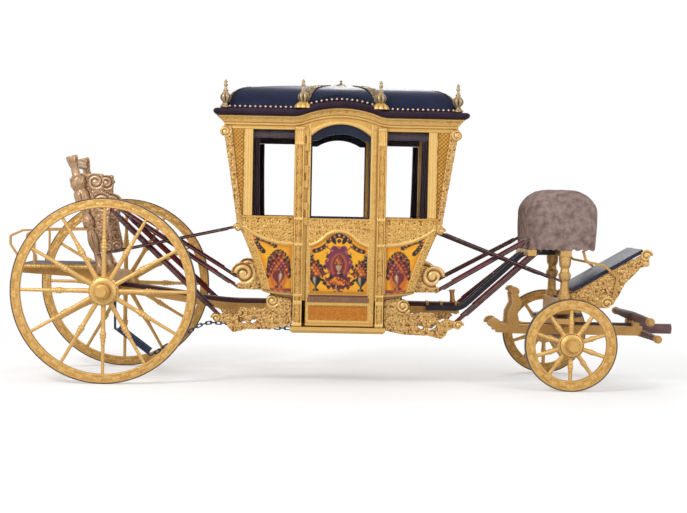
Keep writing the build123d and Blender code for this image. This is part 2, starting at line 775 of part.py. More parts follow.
# Finials: a vase under a spire at each corner and over each door pillar, and a knob on a low spire at the
# crown
FINIAL = ((0, 38), (0.2, 34), (0.24, 16), (0.42, 36), (0.54, 30), (0.66, 11), (0.78, 18), (0.87, 8), (1, 3))
FINIAL_HIGH = 268
SPIRE_Z, KNOB_TOP = 2942, 2968
carved_dome = dome(-RIB_PROUD - SEAT)
finials = []
for x in (-BODY_TOP_HALF, -MID_X, MID_X, BODY_TOP_HALF):
    for side in SIDES:
        foot_z = CROWN_TOP + SEAT + (2 if abs(x) < ARCH_HALF else 0)
        y = side * (HALF_WIDTH + 64)
        post = turned((BODY_X + x, y, foot_z), (BODY_X + x, y, foot_z + FINIAL_HIGH), FINIAL)
        finials.append(less(post, under_crown.part, carved_dome))
with BuildPart() as spire:
    with BuildSketch(Plane(origin=(BODY_X, 0, KNEE_Z))):
        Rectangle(2 * APEX_HALF, 2 * APEX_HALF)
    extrude(amount=ROOF_TOP_Z - KNEE_Z)
    with BuildSketch(Plane(origin=(BODY_X, 0, ROOF_TOP_Z))):
        Rectangle(2 * APEX_HALF, 2 * APEX_HALF)
    with BuildSketch(Plane(origin=(BODY_X, 0, SPIRE_Z))):
        Rectangle(30, 30)
    loft()
KNOB = ((0, 9), (0.4, 7), (0.55, 14), (0.8, 14), (1, 4))
knob = turned((BODY_X, 0, SPIRE_Z - 8), (BODY_X, 0, KNOB_TOP), KNOB)
keep(joined(*finials, less(spire.part, dome(-SEAT)), knob), "roof_finials")

# Corner consoles: scrolled brackets down the raked corners from the cornice to below the waist
CONSOLE_LOW_Z = 1480
consoles = []
for end in ENDS:
    with BuildSketch() as console:
        high, low = BODY_TOP_Z - 4, CONSOLE_LOW_Z
        add(polygon([(end * (BODY_TOP_HALF + 26), high), (end * (BODY_TOP_HALF - 60), high),
                     (end * (WAIST_HALF - 40), WAIST_Z), (end * (WAIST_HALF - 50), low),
                     (end * (WAIST_HALF + 10), low), (end * (WAIST_HALF + 24), WAIST_Z + 60)]))
        add(volute((end * (BODY_TOP_HALF + 2), high - 62), 58, -end))
        add(volute((end * (WAIST_HALF + 6), low + 14), 46, end))
    for side in SIDES:
        piece = board(console.sketch, side * (HALF_WIDTH - 14), 84, BODY_X)
        consoles.append(less(piece, shell))
consoles_part = keep(joined(*consoles), "corner_consoles")
keep(less(joined(*mouldings), consoles_part), "side_mouldings")

# Corner shells: rocaille scrolls low on the body's corners, where the upper straps pull
SHELL_X, SHELL_Z, SHELL_R = 905, 1055, 112
SHELL_Y, SHELL_THICK = 590, 96
shells = []
for end in ENDS:
    with BuildSketch() as rocaille:
        add(volute((end * SHELL_X, SHELL_Z), SHELL_R, end, wide=0.5))
        add(polygon([(end * 700, 930), (end * 860, 960), (end * 930, 1040), (end * 850, 1150),
                     (end * 740, 1190)]))
        add(polygon([(end * 720, 900), (end * 960, 905), (end * 975, 960), (end * 900, 985),
                     (end * 720, 980)]))
    for side in SIDES:
        shells.append(less(board(rocaille.sketch, side * SHELL_Y, SHELL_THICK, BODY_X), shell))
shells_part = keep(joined(*shells), "corner_shells")

# Body brackets: long acanthus scrolls that carry the body's foot out to the lower straps
BRACKET_Y, BRACKET_THICK = 585, 92
BRACKET_EYE_X, BRACKET_EYE_R = 1160, 54
BRACKET_EYE_Z = {-1: 624, 1: 592}
BRACKET = (
    # beyond the body's middle, above the eye
    (435, 246), (435, -58), (640, -100), (860, -104), (1000, -136), (1052, -88), (1060, -56), (1112, -30),
    (1122, 44), (1050, 66), (985, 32), (930, 112), (800, 122), (712, 100), (668, 196), (560, 276),
)
brackets = []
for end in ENDS:
    eye = BRACKET_EYE_Z[end]
    with BuildSketch() as bracket:
        add(polygon([(end * x, eye + rise) for x, rise in BRACKET]))
        with Locations((end * 862, eye - 2)):
            Ellipse(88, 46, mode=Mode.SUBTRACT)
        add(volute((end * 862, eye + 8), 60, end, wide=0.4))
        add(volute((end * 628, eye + 176), 70, -end, wide=0.45))
        add(volute((end * BRACKET_EYE_X, eye), BRACKET_EYE_R, end, wide=0.5))
    for side in SIDES:
        brackets.append(less(board(bracket.sketch, side * BRACKET_Y, BRACKET_THICK, BODY_X), shell))
brackets_part = joined(*brackets)
pilaster_stock = [
    side_shell(polygon([(end * 300, 400), (end * 300, 900), (end * (PILASTER_OUT + SEAT), 900),
                        (end * (PILASTER_OUT + SEAT), 400)]), side, -WALL, PILASTER_THICK + SEAT)
    for side in SIDES for end in ENDS
]
brackets_part = keep(less(brackets_part, *pilaster_stock, *sills), "body_brackets")

# Perch: the pole that joins the two carriages under the body, with an iron-bound front end and a post
PERCH_FRONT = 1130
PERCH_REAR_Z = 872
perch_line = [(REAR_AXLE_X + BED_WIDE / 2 + SEAT, PERCH_REAR_Z), (-1750, PERCH_REAR_Z - 60), (-1200, PERCH_Z),
              (PERCH_FRONT, PERCH_Z)]
with BuildPart() as perch:
    add(board(band(perch_line, PERCH_HIGH, 900), 0, PERCH_WIDE))
    for x in (PERCH_FRONT - 45, PERCH_FRONT - 190, PERCH_FRONT - 330):
        with BuildSketch(Plane(origin=(x, 0, PERCH_Z), x_dir=(0, 1, 0), z_dir=(1, 0, 0))):
            Rectangle(PERCH_WIDE + 16, PERCH_HIGH + 16)
        extrude(amount=26)
POST_X = PERCH_FRONT - 60
post = turned((POST_X, 0, PERCH_Z + PERCH_HIGH / 2), (POST_X - 10, 0, 905),
              ((0, 34), (0.2, 24), (0.7, 22), (1, 34)))
keep(less(joined(perch.part, post), rear_axle), "perch")

# Swan necks: two irons from the perch up to the seat frame, which let the front wheels turn under
NECK_Y = PERCH_WIDE / 2 + 26
NECK_THICK, NECK_DEEP = 30, 50
SEAT_FRAME_Z = 1300
neck = band([(PERCH_FRONT - 330, PERCH_Z), (PERCH_FRONT + 20, PERCH_Z), (1760, 1290),
             (FRONT_AXLE_X - 60, SEAT_FRAME_Z)], NECK_DEEP, 160)
straps_of_perch = [board(neck, hand * NECK_Y, NECK_THICK) for hand in SIDES]

# Rear carriage
BOLSTER_Z = REAR_WHEEL_R + REAR_BED_HIGH / 2
BOLSTER_HIGH = 96
with BuildPart() as rear_bolster:
    with BuildSketch(Plane(origin=(REAR_AXLE_X, 0, BOLSTER_Z + SEAT), x_dir=(0, 1, 0), z_dir=(1, 0, 0))):
        with BuildLine():
            Polyline((-540, 0), (540, 0), (560, 60), (470, BOLSTER_HIGH), (-470, BOLSTER_HIGH), (-560, 60),
                     close=True)
        make_face()
    extrude(amount=70, both=True)
keep(rear_bolster.part, "rear_bolster")

STANDARD_Y = 360
STANDARD_FOOT = (REAR_AXLE_X - 78, BOLSTER_Z + BOLSTER_HIGH - 10)
STANDARD_HEAD = (-2690, 2150)
STANDARD = ((0, 58), (0.06, 62), (0.1, 40), (0.18, 34), (0.27, 60), (0.36, 44), (0.42, 66), (0.46, 62),
            (0.5, 44), (0.58, 60), (0.62, 78), (0.68, 80), (0.71, 64), (0.76, 84), (0.8, 82), (0.84, 46),
            (0.9, 40), (0.96, 58), (1, 60))
standards = []
for side in SIDES:
    post = turned((STANDARD_FOOT[0], side * STANDARD_Y, STANDARD_FOOT[1]),
                  (STANDARD_HEAD[0], side * STANDARD_Y, STANDARD_HEAD[1]), STANDARD)
    standards.append(less(post, rear_bolster.part))
standards_part = joined(*standards)

RAIL_END = STANDARD_Y


def standard_at(share):
    """The centre of a rear standard at a share of its length, as X and Z."""
    return tuple(foot + share * (head - foot) for foot, head in zip(STANDARD_FOOT, STANDARD_HEAD))


cross_rails = []
for share, high in ((0.93, 60), (0.65, 110), (0.2, 70)):
    x, z = standard_at(share)
    with BuildPart() as rail:
        with BuildSketch(Plane(origin=(x, 0, z), x_dir=(1, 0, 0), z_dir=(0, -1, 0))):
            with Locations(Location((0, 0), 15)):
                Rectangle(46, high)
        extrude(amount=RAIL_END, both=True)
    cross_rails.append(rail.part)
standards_part = keep(joined(standards_part, *cross_rails), "rear_standards")

# Scrolls before the rear standards, over which the rear straps are drawn
SCROLL_X, SCROLL_Z, SCROLL_R = -2385, 1705, 96
with BuildSketch() as scroll:
    add(volute((SCROLL_X, SCROLL_Z), SCROLL_R, 1, wide=0.45))
    add(volute((-2452, 1905), 80, 1, wide=0.45))
    add(volute((-2330, 1265), 66, -1, wide=0.45))
    add(polygon([(-2330, 1205), (-2262, 1250), (-2320, 1500), (-2296, 1680), (-2380, 1800), (-2380, 1990),
                 (-2660, 1990), (-2600, 1700), (-2470, 1300)]))
scrolls = [less(board(scroll.sketch, side * STANDARD_Y, 64), standards_part) for side in SIDES]
front_scrolls = [max(piece.solids(), key=lambda s: s.volume) for piece in scrolls]
scrolls_part = keep(Compound(front_scrolls), "rear_scrolls")

# Footmen's board behind the axle, with its bearers and grab rails
BOARD_Z = 1062
BOARD_THICK = 40
BOARD_REAR, BOARD_FRONT = -3190, -2480
BOARD_HALF = 430
with BuildPart() as platform:
    with BuildSketch(Plane(origin=((BOARD_REAR + BOARD_FRONT) / 2, 0, BOARD_Z))):
        Rectangle(BOARD_FRONT - BOARD_REAR, 2 * BOARD_HALF)
    extrude(amount=BOARD_THICK)
axle_back = REAR_AXLE_X - BED_WIDE / 2 - SEAT
bearer = polygon([
    (BOARD_REAR + 20, BOARD_Z), (BOARD_REAR + 20, BOARD_Z - 50), (-2700, BOARD_Z - 78),
    (axle_back, REAR_WHEEL_R - 50), (axle_back, BOLSTER_Z - 6), (-2440, BOARD_Z - 60), (-2440, BOARD_Z),
])
bearers = [board(bearer, side * 300, 70) for side in SIDES]
bearer_set = less(joined(*bearers), standards_part, rear_bolster.part)
keep(joined(less(platform.part, standards_part), bearer_set), "footmens_board")

RAIL_THICK = 20
REAR_END = -OVERALL_LENGTH / 2
rail_foot = BOARD_Z + BOARD_THICK + SEAT
rail_x, rail_z = standard_at(0.42)
rail_back = REAR_END + RAIL_THICK / 2
rail = band([(BOARD_REAR + 24, rail_foot), (BOARD_REAR + 24, 1150), (rail_back, 1290), (rail_back, 1370),
             (-3140, 1425), (rail_x, 1445)], RAIL_THICK, 26)
stay = polygon([(-3040, rail_foot), (-3020, rail_foot), (-3020, 1428), (-3040, 1428)])
rails = [joined(board(rail, side * 400, RAIL_THICK), board(stay, side * 400, RAIL_THICK)) for side in SIDES]
rails_part = less(joined(*rails), standards_part)
keep(rails_part, "grab_rails")

# Front carriage above the kingpin: bolster, standards, seat frame, driver's seat and footboard
PLATE_Z = 660
PLATE_THICK = 14
PLATE_R = 250
KINGPIN_R = 22
TURN_GAP = 0.5
BOLSTER_DEEP = 160
FRONT_BOLSTER_Z = PLATE_Z + 2 * PLATE_THICK + TURN_GAP
FRONT_STANDARD_Y = 370
with BuildPart() as front_bolster:
    with BuildSketch(Plane(origin=(FRONT_AXLE_X, 0, FRONT_BOLSTER_Z), x_dir=(0, 1, 0), z_dir=(1, 0, 0))):
        with BuildLine():
            Polyline((-400, 20), (-300, 0), (300, 0), (400, 20), (430, 110), (400, BOLSTER_DEEP),
                     (-400, BOLSTER_DEEP), (-430, 110), close=True)
        make_face()
    extrude(amount=75, both=True)
    with BuildSketch(Plane(origin=(FRONT_AXLE_X, 0, 0))):
        Circle(KINGPIN_R + SEAT)
    extrude(amount=FRONT_BOLSTER_Z + BOLSTER_DEEP, mode=Mode.SUBTRACT)
keep(front_bolster.part, "front_bolster")


def wheel_plate(z, thick):
    """An iron ring with a boss and a bar across, on which the front carriage turns."""
    with BuildPart() as made:
        with BuildSketch(Plane(origin=(FRONT_AXLE_X, 0, z))):
            Circle(PLATE_R)
            Circle(PLATE_R - 55, mode=Mode.SUBTRACT)
            Circle(60)
            Rectangle(60, 2 * PLATE_R - 40)
        extrude(amount=thick)
    return made.part


# Kingpin, forged with the upper wheel plate
KINGPIN_FOOT = 470
KINGPIN_HEAD = FRONT_BOLSTER_Z + BOLSTER_DEEP
with BuildPart() as kingpin:
    add(wheel_plate(PLATE_Z + PLATE_THICK + TURN_GAP, PLATE_THICK - SEAT))
    with BuildSketch(Plane(origin=(FRONT_AXLE_X, 0, KINGPIN_FOOT))):
        Circle(KINGPIN_R)
    extrude(amount=KINGPIN_HEAD + SEAT + 4 - KINGPIN_FOOT)
    with BuildSketch(Plane(origin=(FRONT_AXLE_X, 0, KINGPIN_HEAD + SEAT))):
        Circle(KINGPIN_R + 18)
    extrude(amount=20)
keep(kingpin.part, "kingpin")

front_foot_z = KINGPIN_HEAD + SEAT
FRONT_STANDARD = ((0, 62), (0.1, 62), (0.16, 44), (0.42, 40), (0.5, 58), (0.58, 62), (0.64, 44), (0.72, 40),
                  (0.8, 56), (0.9, 60), (1, 60))
front_standards = [turned((FRONT_AXLE_X, side * FRONT_STANDARD_Y, front_foot_z),
                          (FRONT_AXLE_X, side * FRONT_STANDARD_Y, SEAT_FRAME_Z - 30), FRONT_STANDARD)
                   for side in SIDES]
front_standards_part = joined(*front_standards)
with BuildPart() as seat_frame:
    with BuildSketch(Plane(origin=(FRONT_AXLE_X, 0, SEAT_FRAME_Z - 30))):
        Rectangle(110, 2 * FRONT_STANDARD_Y + 130)
        with Locations((-160, 0)):
            Rectangle(420, 160)
        with Locations((-330, 0)):
            Rectangle(80, 2 * FRONT_STANDARD_Y + 130)
    extrude(amount=60)
front_standards_part = keep(joined(front_standards_part, seat_frame.part), "front_standards")
keep(less(joined(*straps_of_perch), front_standards_part, perch.part, front_bolster.part), "swan_necks")

SEAT_X, SEAT_HALF, SEAT_HALF_WIDE = 2085, 366, 470
SEAT_TOP = 1912
with BuildPart() as hammercloth:
    levels = (
        # height, share of the length, share of the width
        (SEAT_FRAME_Z + 30 + SEAT, 0.97, 0.96), (1560, 1.0, 1.0), (1745, 0.99, 0.97), (1855, 0.78, 0.82),
        (SEAT_TOP, 0.5, 0.62),
    )
    for z, long_share, wide_share in levels:
        with BuildSketch(Plane(origin=(SEAT_X, 0, z))):
            RectangleRounded(2 * SEAT_HALF * long_share, 2 * SEAT_HALF_WIDE * wide_share, 60)
    loft(ruled=True)
hammercloth_part = keep(hammercloth.part, "driver_seat_cover")

FOOT_LOW, FOOT_HIGH = (2215, 940), (2895, 1337)
FOOTBOARD_HALF = 345
footboard_line = band([FOOT_LOW, FOOT_HIGH], 34)
footboard = keep(board(footboard_line, 0, 2 * FOOTBOARD_HALF), "footboard_front")
with BuildSketch() as cheek:
    add(polygon([(FRONT_AXLE_X + 60, 800), (FRONT_AXLE_X + 60, 905), (2235, 930), (2880, 1306), (2950, 1300),
                 (2955, 1190), (2871, 1172), (2800, 1092), (2722, 1015), (2668, 905), (2600, 800),
                 (2490, 765), (2380, 795), (2295, 846)]))
    add(volute((2920, 1290), 64, 1, wide=0.5))
    add(volute((2545, 815), 66, 1, wide=0.5))
CHEEK_THICK = 46
CHEEK_Y = FOOTBOARD_HALF + CHEEK_THICK / 2 + SEAT
cheeks = [
    less(board(cheek.sketch, side * CHEEK_Y, CHEEK_THICK), footboard, front_bolster.part,
         front_standards_part)
    for side in SIDES
]
cheeks_part = keep(joined(*cheeks), "footboard_cheeks")
iron = band([(2290, SEAT_FRAME_Z + 50), (2325, 1222), (2500, 1190), (2640, 1075), (2600, 885)], 24, 50)
irons = [board(iron, side * (CHEEK_Y + CHEEK_THICK / 2 + 12 + SEAT), 24) for side in SIDES]
keep(less(joined(*irons), front_standards_part, hammercloth_part), "seat_irons")

# Forecarriage: it turns about the kingpin under the front bolster
FUTCHELL_Y = 150
BED_TOP = FRONT_WHEEL_R + FRONT_BED_HIGH / 2
FUTCHELL_Z = BED_TOP + 45 + SEAT
LOWER_BOLSTER_HIGH = PLATE_Z - FUTCHELL_Z - 45 - SEAT
TAIL_X = 1470
FUTCHELL_FRONT = 2945
SPLINTER_X, SPLINTER_Z = 2880, 672
LOWER_BAR_X, LOWER_BAR_Z = 2962, 507
with BuildSketch() as futchell:
    add(band([(TAIL_X + 20, FUTCHELL_Z + 10), (1700, FUTCHELL_Z), (FUTCHELL_FRONT, FUTCHELL_Z)], 90))
    add(volute((TAIL_X + 10, FUTCHELL_Z + 40), 66, -1, wide=0.5))
    add(polygon([(SPLINTER_X - 40, FUTCHELL_Z), (SPLINTER_X + 40, FUTCHELL_Z), (SPLINTER_X + 26, SPLINTER_Z),
                 (SPLINTER_X - 26, SPLINTER_Z)]))
    add(polygon([(1600, FUTCHELL_Z), (1730, FUTCHELL_Z), (1700, 700), (1745, 800), (1690, 900), (1640, 880),
                 (1655, 790), (1610, 700)]))
    add(volute((1672, 905), 48, -1, wide=0.5))
futchells = [board(futchell.sketch, side * FUTCHELL_Y, 74) for side in SIDES]
with BuildPart() as lower_bolster:
    with BuildSketch(Plane(origin=(FRONT_AXLE_X, 0, FUTCHELL_Z + 45), x_dir=(0, 1, 0), z_dir=(1, 0, 0))):
        with BuildLine():
            Polyline((-400, 0), (400, 0), (430, 30), (400, LOWER_BOLSTER_HIGH), (-400, LOWER_BOLSTER_HIGH),
                     (-430, 30), close=True)
        make_face()
    extrude(amount=70, both=True)
with BuildPart() as futchell_set:
    add(futchells[0])
    add(futchells[1])
    add(lower_bolster.part)
    with BuildSketch(Plane(origin=(1700, 0, FUTCHELL_Z))):
        Rectangle(80, 2 * FUTCHELL_Y)
    extrude(amount=40, both=True)
    with BuildSketch(Plane(origin=(FRONT_AXLE_X, 0, 0))):
        Circle(KINGPIN_R + RUN)
    extrude(amount=PLATE_Z + 50, mode=Mode.SUBTRACT)
keep(futchell_set.part, "futchells")
keep(less(front_axle, kingpin.part), "front_axle")
with BuildPart() as plate:
    add(wheel_plate(PLATE_Z, PLATE_THICK))
    with BuildSketch(Plane(origin=(FRONT_AXLE_X, 0, 0))):
        Circle(KINGPIN_R + RUN)
    extrude(amount=PLATE_Z + 2 * PLATE_THICK, mode=Mode.SUBTRACT)
keep(plate.part, "wheel_plate")

# Draught gear: the splinter bar, the lower bar and the pole
splinter = turned((SPLINTER_X, -830, SPLINTER_Z), (SPLINTER_X, 830, SPLINTER_Z),
                  ((0, 26), (0.015, 40), (0.045, 40), (0.05, 26), (0.09, 30), (0.3, 38), (0.5, 44), (0.7, 38),
                   (0.91, 30), (0.95, 26), (0.955, 40), (0.985, 40), (1, 26)))
splinter = less(splinter, futchell_set.part)
lower_bar = turned((LOWER_BAR_X, -800, LOWER_BAR_Z), (LOWER_BAR_X, 800, LOWER_BAR_Z),
                   ((0, 24), (0.015, 38), (0.05, 38), (0.055, 24), (0.2, 28), (0.5, 36), (0.8, 28),
                    (0.945, 24), (0.95, 38), (0.985, 38), (1, 24)))
POLE_TIP = OVERALL_LENGTH / 2
pole_foot = FRONT_AXLE_X + 140
shoulder = 1 - POLE_PIN_LONG / (POLE_TIP - pole_foot)
pole = turned((pole_foot, 0, POLE_Z), (POLE_TIP, 0, POLE_Z),
              ((0, POLE_R), (shoulder, POLE_R), (shoulder, POLE_PIN_R), (1, POLE_PIN_R)))
keep(pole, "pole_stub")

keep(joined(splinter, less(lower_bar, pole, futchell_set.part)), "draught_bars")

# Suspension straps of leather, drawn tight between the carriages and the body
STRAP_WIDE = 62
STRAPS = (
    # end at the carriage (x, y, z), end at the body (x, y, z), width, thickness, lifts
    ((-2340, 350, 1625), (BODY_X - BRACKET_EYE_X, 575, BRACKET_EYE_Z[-1]), STRAP_WIDE, 13, (30, 46)),
    ((-2320, 350, 1712), (BODY_X - SHELL_X, 590, 890), STRAP_WIDE, 18, (0,)),
    ((1990, 340, 1385), (BODY_X + BRACKET_EYE_X, 575, BRACKET_EYE_Z[1]), STRAP_WIDE, 13, (30, 46)),
    ((1830, 340, 1463), (BODY_X + SHELL_X, 590, 890), STRAP_WIDE, 18, (0,)),
    ((-2420, 420, 1200), (BODY_X - 925, 650, 1512), 42, 12, (0,)),
    ((2125, 372, 1010), (BODY_X + 925, 650, 1500), 42, 12, (0,)),
)
carriers = (brackets_part, shells_part, consoles_part, scrolls_part, standards_part, front_standards_part,
            hammercloth_part, shell)
with BuildPart() as strap_set:
    for start, end, wide, thick, lifts in STRAPS:
        for lift in lifts:
            length = less(strap(start, end, wide, thick, lift), *carriers)
            add(max(length.solids(), key=lambda solid: solid.volume))
    mirror(about=Plane.XZ)
keep(strap_set.part, "suspension_straps")

# Drag shoe and its chain, hung under the perch ready to be put under a rear wheel
SHOE_REAR, SHOE_FRONT = (-2300, 455), (-1940, 190)
SHOE_WIDE, SHOE_CHEEK, SHOE_THICK = 104, 62, 13
shoe_run = Vector(SHOE_FRONT[0] - SHOE_REAR[0], SHOE_FRONT[1] - SHOE_REAR[1])
shoe_slope = Plane(origin=(SHOE_REAR[0], 0, SHOE_REAR[1]), x_dir=(shoe_run.X, 0, shoe_run.Y),
                   z_dir=(-shoe_run.Y, 0, shoe_run.X))
with BuildPart() as shoe:
    with BuildSketch(shoe_slope):
        with Locations((shoe_run.length / 2, 0)):
            RectangleRounded(shoe_run.length, SHOE_WIDE, 30)
    extrude(amount=SHOE_THICK)
    with BuildSketch(shoe_slope):
        for side in SIDES:
            with Locations((shoe_run.length / 2, side * (SHOE_WIDE - SHOE_THICK) / 2)):
                Rectangle(shoe_run.length - 60, SHOE_THICK)
    extrude(amount=SHOE_CHEEK)
hanger = board(polygon([(SHOE_REAR[0] - 6, SHOE_REAR[1] - 4), (SHOE_REAR[0] + 14, SHOE_REAR[1] - 18),
                        (REAR_AXLE_X + 12, REAR_WHEEL_R - REAR_BED_HIGH / 2 - SEAT),
                        (REAR_AXLE_X - 12, REAR_WHEEL_R - REAR_BED_HIGH / 2 - SEAT)]), 0, 28)
shoe_part = joined(shoe.part, hanger)

LINK_BAR, LINK_INNER, LINK_PLAY = 11, 50, 0.8
LINK_GAP = LINK_BAR * 1.5
PITCH = LINK_INNER - LINK_PLAY
STRETCHES = (
    # links, slope in degrees
    (11, 33), (1, 26), (1, 18), (1, 9), (4, -2), (4, -6), (4, -4), (4, -1),
)


def link(at, slope, flat):
    """One link of the chain, centred at a point in X and Z. A flat link lies across the chain's plane."""
    x_dir = (cos(radians(slope)), 0, sin(radians(slope)))
    z_dir = (-sin(radians(slope)), 0, cos(radians(slope))) if flat else (0, -1, 0)
    with BuildPart() as made:
        with BuildSketch(Plane(origin=(at[0], 0, at[1]), x_dir=x_dir, z_dir=z_dir)) as ring:
            Rectangle(LINK_INNER + 2 * LINK_BAR, LINK_GAP + 2 * LINK_BAR)
            chamfer(ring.vertices(), LINK_BAR * 0.8)
            Rectangle(LINK_INNER, LINK_GAP, mode=Mode.SUBTRACT)
        extrude(amount=LINK_BAR / 2, both=True)
    return made.part


end = Vector(SHOE_FRONT[0] + 6, SHOE_FRONT[1] + 2)
links = []
for count, slope in STRETCHES:
    for number in range(count):
        pitch = Vector(cos(radians(slope)), sin(radians(slope))) * PITCH
        middle = end + pitch * 0.5
        links.append(link((middle.X, middle.Y), slope, len(links) % 2 == 0))
        end = end + pitch
keep(joined(less(shoe_part, links[0]), *links), "drag_shoe")
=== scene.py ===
from math import atan2, cos, hypot, pi, radians, sin

import bpy
import numpy as np
from mathutils import Matrix, Vector


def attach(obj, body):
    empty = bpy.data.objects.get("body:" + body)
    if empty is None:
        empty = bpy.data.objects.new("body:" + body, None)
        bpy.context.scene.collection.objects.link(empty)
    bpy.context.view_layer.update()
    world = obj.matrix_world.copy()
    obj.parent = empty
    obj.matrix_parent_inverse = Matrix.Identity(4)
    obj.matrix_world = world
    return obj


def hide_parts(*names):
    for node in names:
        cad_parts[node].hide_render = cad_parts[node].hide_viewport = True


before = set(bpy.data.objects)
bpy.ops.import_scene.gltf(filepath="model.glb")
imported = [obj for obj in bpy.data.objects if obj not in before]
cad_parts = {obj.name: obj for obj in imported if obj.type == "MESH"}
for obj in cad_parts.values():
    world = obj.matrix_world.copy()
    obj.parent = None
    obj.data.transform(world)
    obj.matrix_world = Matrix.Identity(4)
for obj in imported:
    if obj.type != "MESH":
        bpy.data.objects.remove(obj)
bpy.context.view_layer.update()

# The camera stands level with the coach's waist, far off on its right side. Its place and lens were
# fitted to the wheels' centres and to where they stand.
CAMERA_AT = (-0.338, -14.348, 1.705)
CAMERA_YAW, CAMERA_PITCH, CAMERA_ROLL = radians(1.224), radians(1.954), radians(1.127)
LENS, SENSOR = 75.31, 36.0

ahead = Vector((sin(CAMERA_YAW) * cos(CAMERA_PITCH), cos(CAMERA_YAW) * cos(CAMERA_PITCH), -sin(CAMERA_PITCH)))
level = Vector((cos(CAMERA_YAW), -sin(CAMERA_YAW), 0))
upright = level.cross(ahead)
right = level * cos(CAMERA_ROLL) + upright * sin(CAMERA_ROLL)
above = upright * cos(CAMERA_ROLL) - level * sin(CAMERA_ROLL)
camera = bpy.data.objects.new("camera", bpy.data.cameras.new("camera"))
camera.data.lens, camera.data.sensor_width = LENS, SENSOR
camera.matrix_world = Matrix.Translation(CAMERA_AT) @ Matrix((right, above, -ahead)).transposed().to_4x4()
bpy.context.scene.collection.objects.link(camera)
bpy.context.scene.camera = camera
bpy.context.scene.view_settings.view_transform = "Standard"


# Shader sums. A socket that is wrapped takes part in ordinary arithmetic, and a finish is a material
# whose nodes are made one call at a time.
class Wire:
    """A value in a shader, as the output socket of a node."""

    def __init__(self, finish, socket):
        self.finish, self.socket = finish, socket

    def sum(self, operation, first, second, clamp=False):
        return self.finish.node("ShaderNodeMath", {"operation": operation, "use_clamp": clamp}, first, second)

    def __add__(self, other):
        return self.sum("ADD", self, other)

    def __sub__(self, other):
        return self.sum("SUBTRACT", self, other)

    def __mul__(self, other):
        return self.sum("MULTIPLY", self, other)

    def __rsub__(self, other):
        return self.sum("SUBTRACT", other, self)

    __radd__, __rmul__ = __add__, __mul__

    def kept(self):
        return self.sum("ADD", self, 0.0, clamp=True)


class Finish:
    """The nodes of a material, or of the world, made one by one."""

    def __init__(self, name, owner=None):
        self.owner = owner or bpy.data.materials.new(name)
        self.owner.use_nodes = True
        self.tree = self.owner.node_tree
        self.tree.nodes.clear()

    def node(self, kind, settings, *values, out=0, **named):
        made = self.tree.nodes.new(kind)
        for key, value in settings.items():
            if key == "stops":
                ramp = made.color_ramp.elements
                while len(ramp) < len(value):
                    ramp.new(1.0)
                for stop, (place, colour) in zip(ramp, value):
                    stop.position, stop.color = place, (*colour, 1.0)
            else:
                setattr(made, key, value)
        by_name = [(key.replace("_", " "), value) for key, value in named.items()]
        for key, value in list(enumerate(values)) + by_name:
            if isinstance(value, Wire):
                self.tree.links.new(value.socket, made.inputs[key])
            elif value is not None:
                made.inputs[key].default_value = value
        return Wire(self, made.outputs[out]) if made.outputs else None

    def blend(self, factor, first, second, mode="MIX"):
        """Two colours, mixed by a factor."""
        colours = (c if isinstance(c, Wire) else (*c, 1.0) for c in (first, second))
        kinds = {"data_type": "RGBA", "blend_type": mode}
        return self.node("ShaderNodeMix", kinds, factor, *[None] * 5, *colours, out=2)

    def ramp(self, value, *stops):
        return self.node("ShaderNodeValToRGB", {"stops": stops}, value)

    def place(self):
        return self.node("ShaderNodeTexCoord", {}, out=3)

    def stretched(self, x, y, z):
        return self.node("ShaderNodeMapping", {}, self.place(), Scale=(x, y, z))

    def noise(self, scale, detail=4.0, rough=0.55, at=None):
        return self.node("ShaderNodeTexNoise", {}, Vector=at or self.place(), Scale=scale, Detail=detail,
                         Roughness=rough)

    def cells(self, scale, feature="F1", at=None, out=0):
        return self.node("ShaderNodeTexVoronoi", {"feature": feature}, Vector=at or self.place(), Scale=scale,
                         out=out)

    def read(self, name, out=2):
        return self.node("ShaderNodeAttribute", {"attribute_name": name}, out=out)

    def bump(self, height, depth, strength=1.0):
        return self.node("ShaderNodeBump", {}, Strength=strength, Distance=depth, Height=height)

    def surface(self, **sockets):
        self.node("ShaderNodeOutputMaterial", {}, self.node("ShaderNodeBsdfPrincipled", {}, **sockets))
        return self.owner


# Floor, backdrop and lamps: a white studio whose floor keeps the coach's soft shadow, with a broad key
# lamp high on the left of the view and a weaker one on the right.
FLOOR_SIZE, FLOOR_GREY, FLOOR_GLOW, AMBIENT = 60.0, (0.62, 0.62, 0.62, 1.0), 0.37, 0.62
FADE_FROM, FADE, WHITE = 4.5, 0.35, (1.0, 1.0, 1.0, 1.0)


def shown(finish):
    """1 where the camera looks, directly or through metal and glass, and 0 where light only bounces."""
    seen, mirrored, passed = (finish.node("ShaderNodeLightPath", {}, out=ray) for ray in (0, 3, 6))
    return (seen + mirrored + passed).kept()


ground = Finish("studio_floor")
matt = ground.node("ShaderNodeBsdfDiffuse", {}, Color=FLOOR_GREY)
glow, backdrop = (ground.node("ShaderNodeEmission", {}, Color=WHITE, Strength=s) for s in (FLOOR_GLOW, 1.0))
viewed = shown(ground)
lit = ground.node("ShaderNodeAddShader", {}, matt, glow)
near = ground.node("ShaderNodeMixShader", {}, viewed, matt, lit)
away = ground.node("ShaderNodeVectorMath", {"operation": "LENGTH"}, ground.place(), out=1)
far = ((away - FADE_FROM) * FADE).kept() * viewed
ground.node("ShaderNodeOutputMaterial", {}, ground.node("ShaderNodeMixShader", {}, far, near, backdrop))
bpy.ops.mesh.primitive_plane_add(size=FLOOR_SIZE, location=(0, 0, -0.001))
floor = bpy.context.object
floor.name = "studio_floor"
floor.data.materials.append(ground.owner)

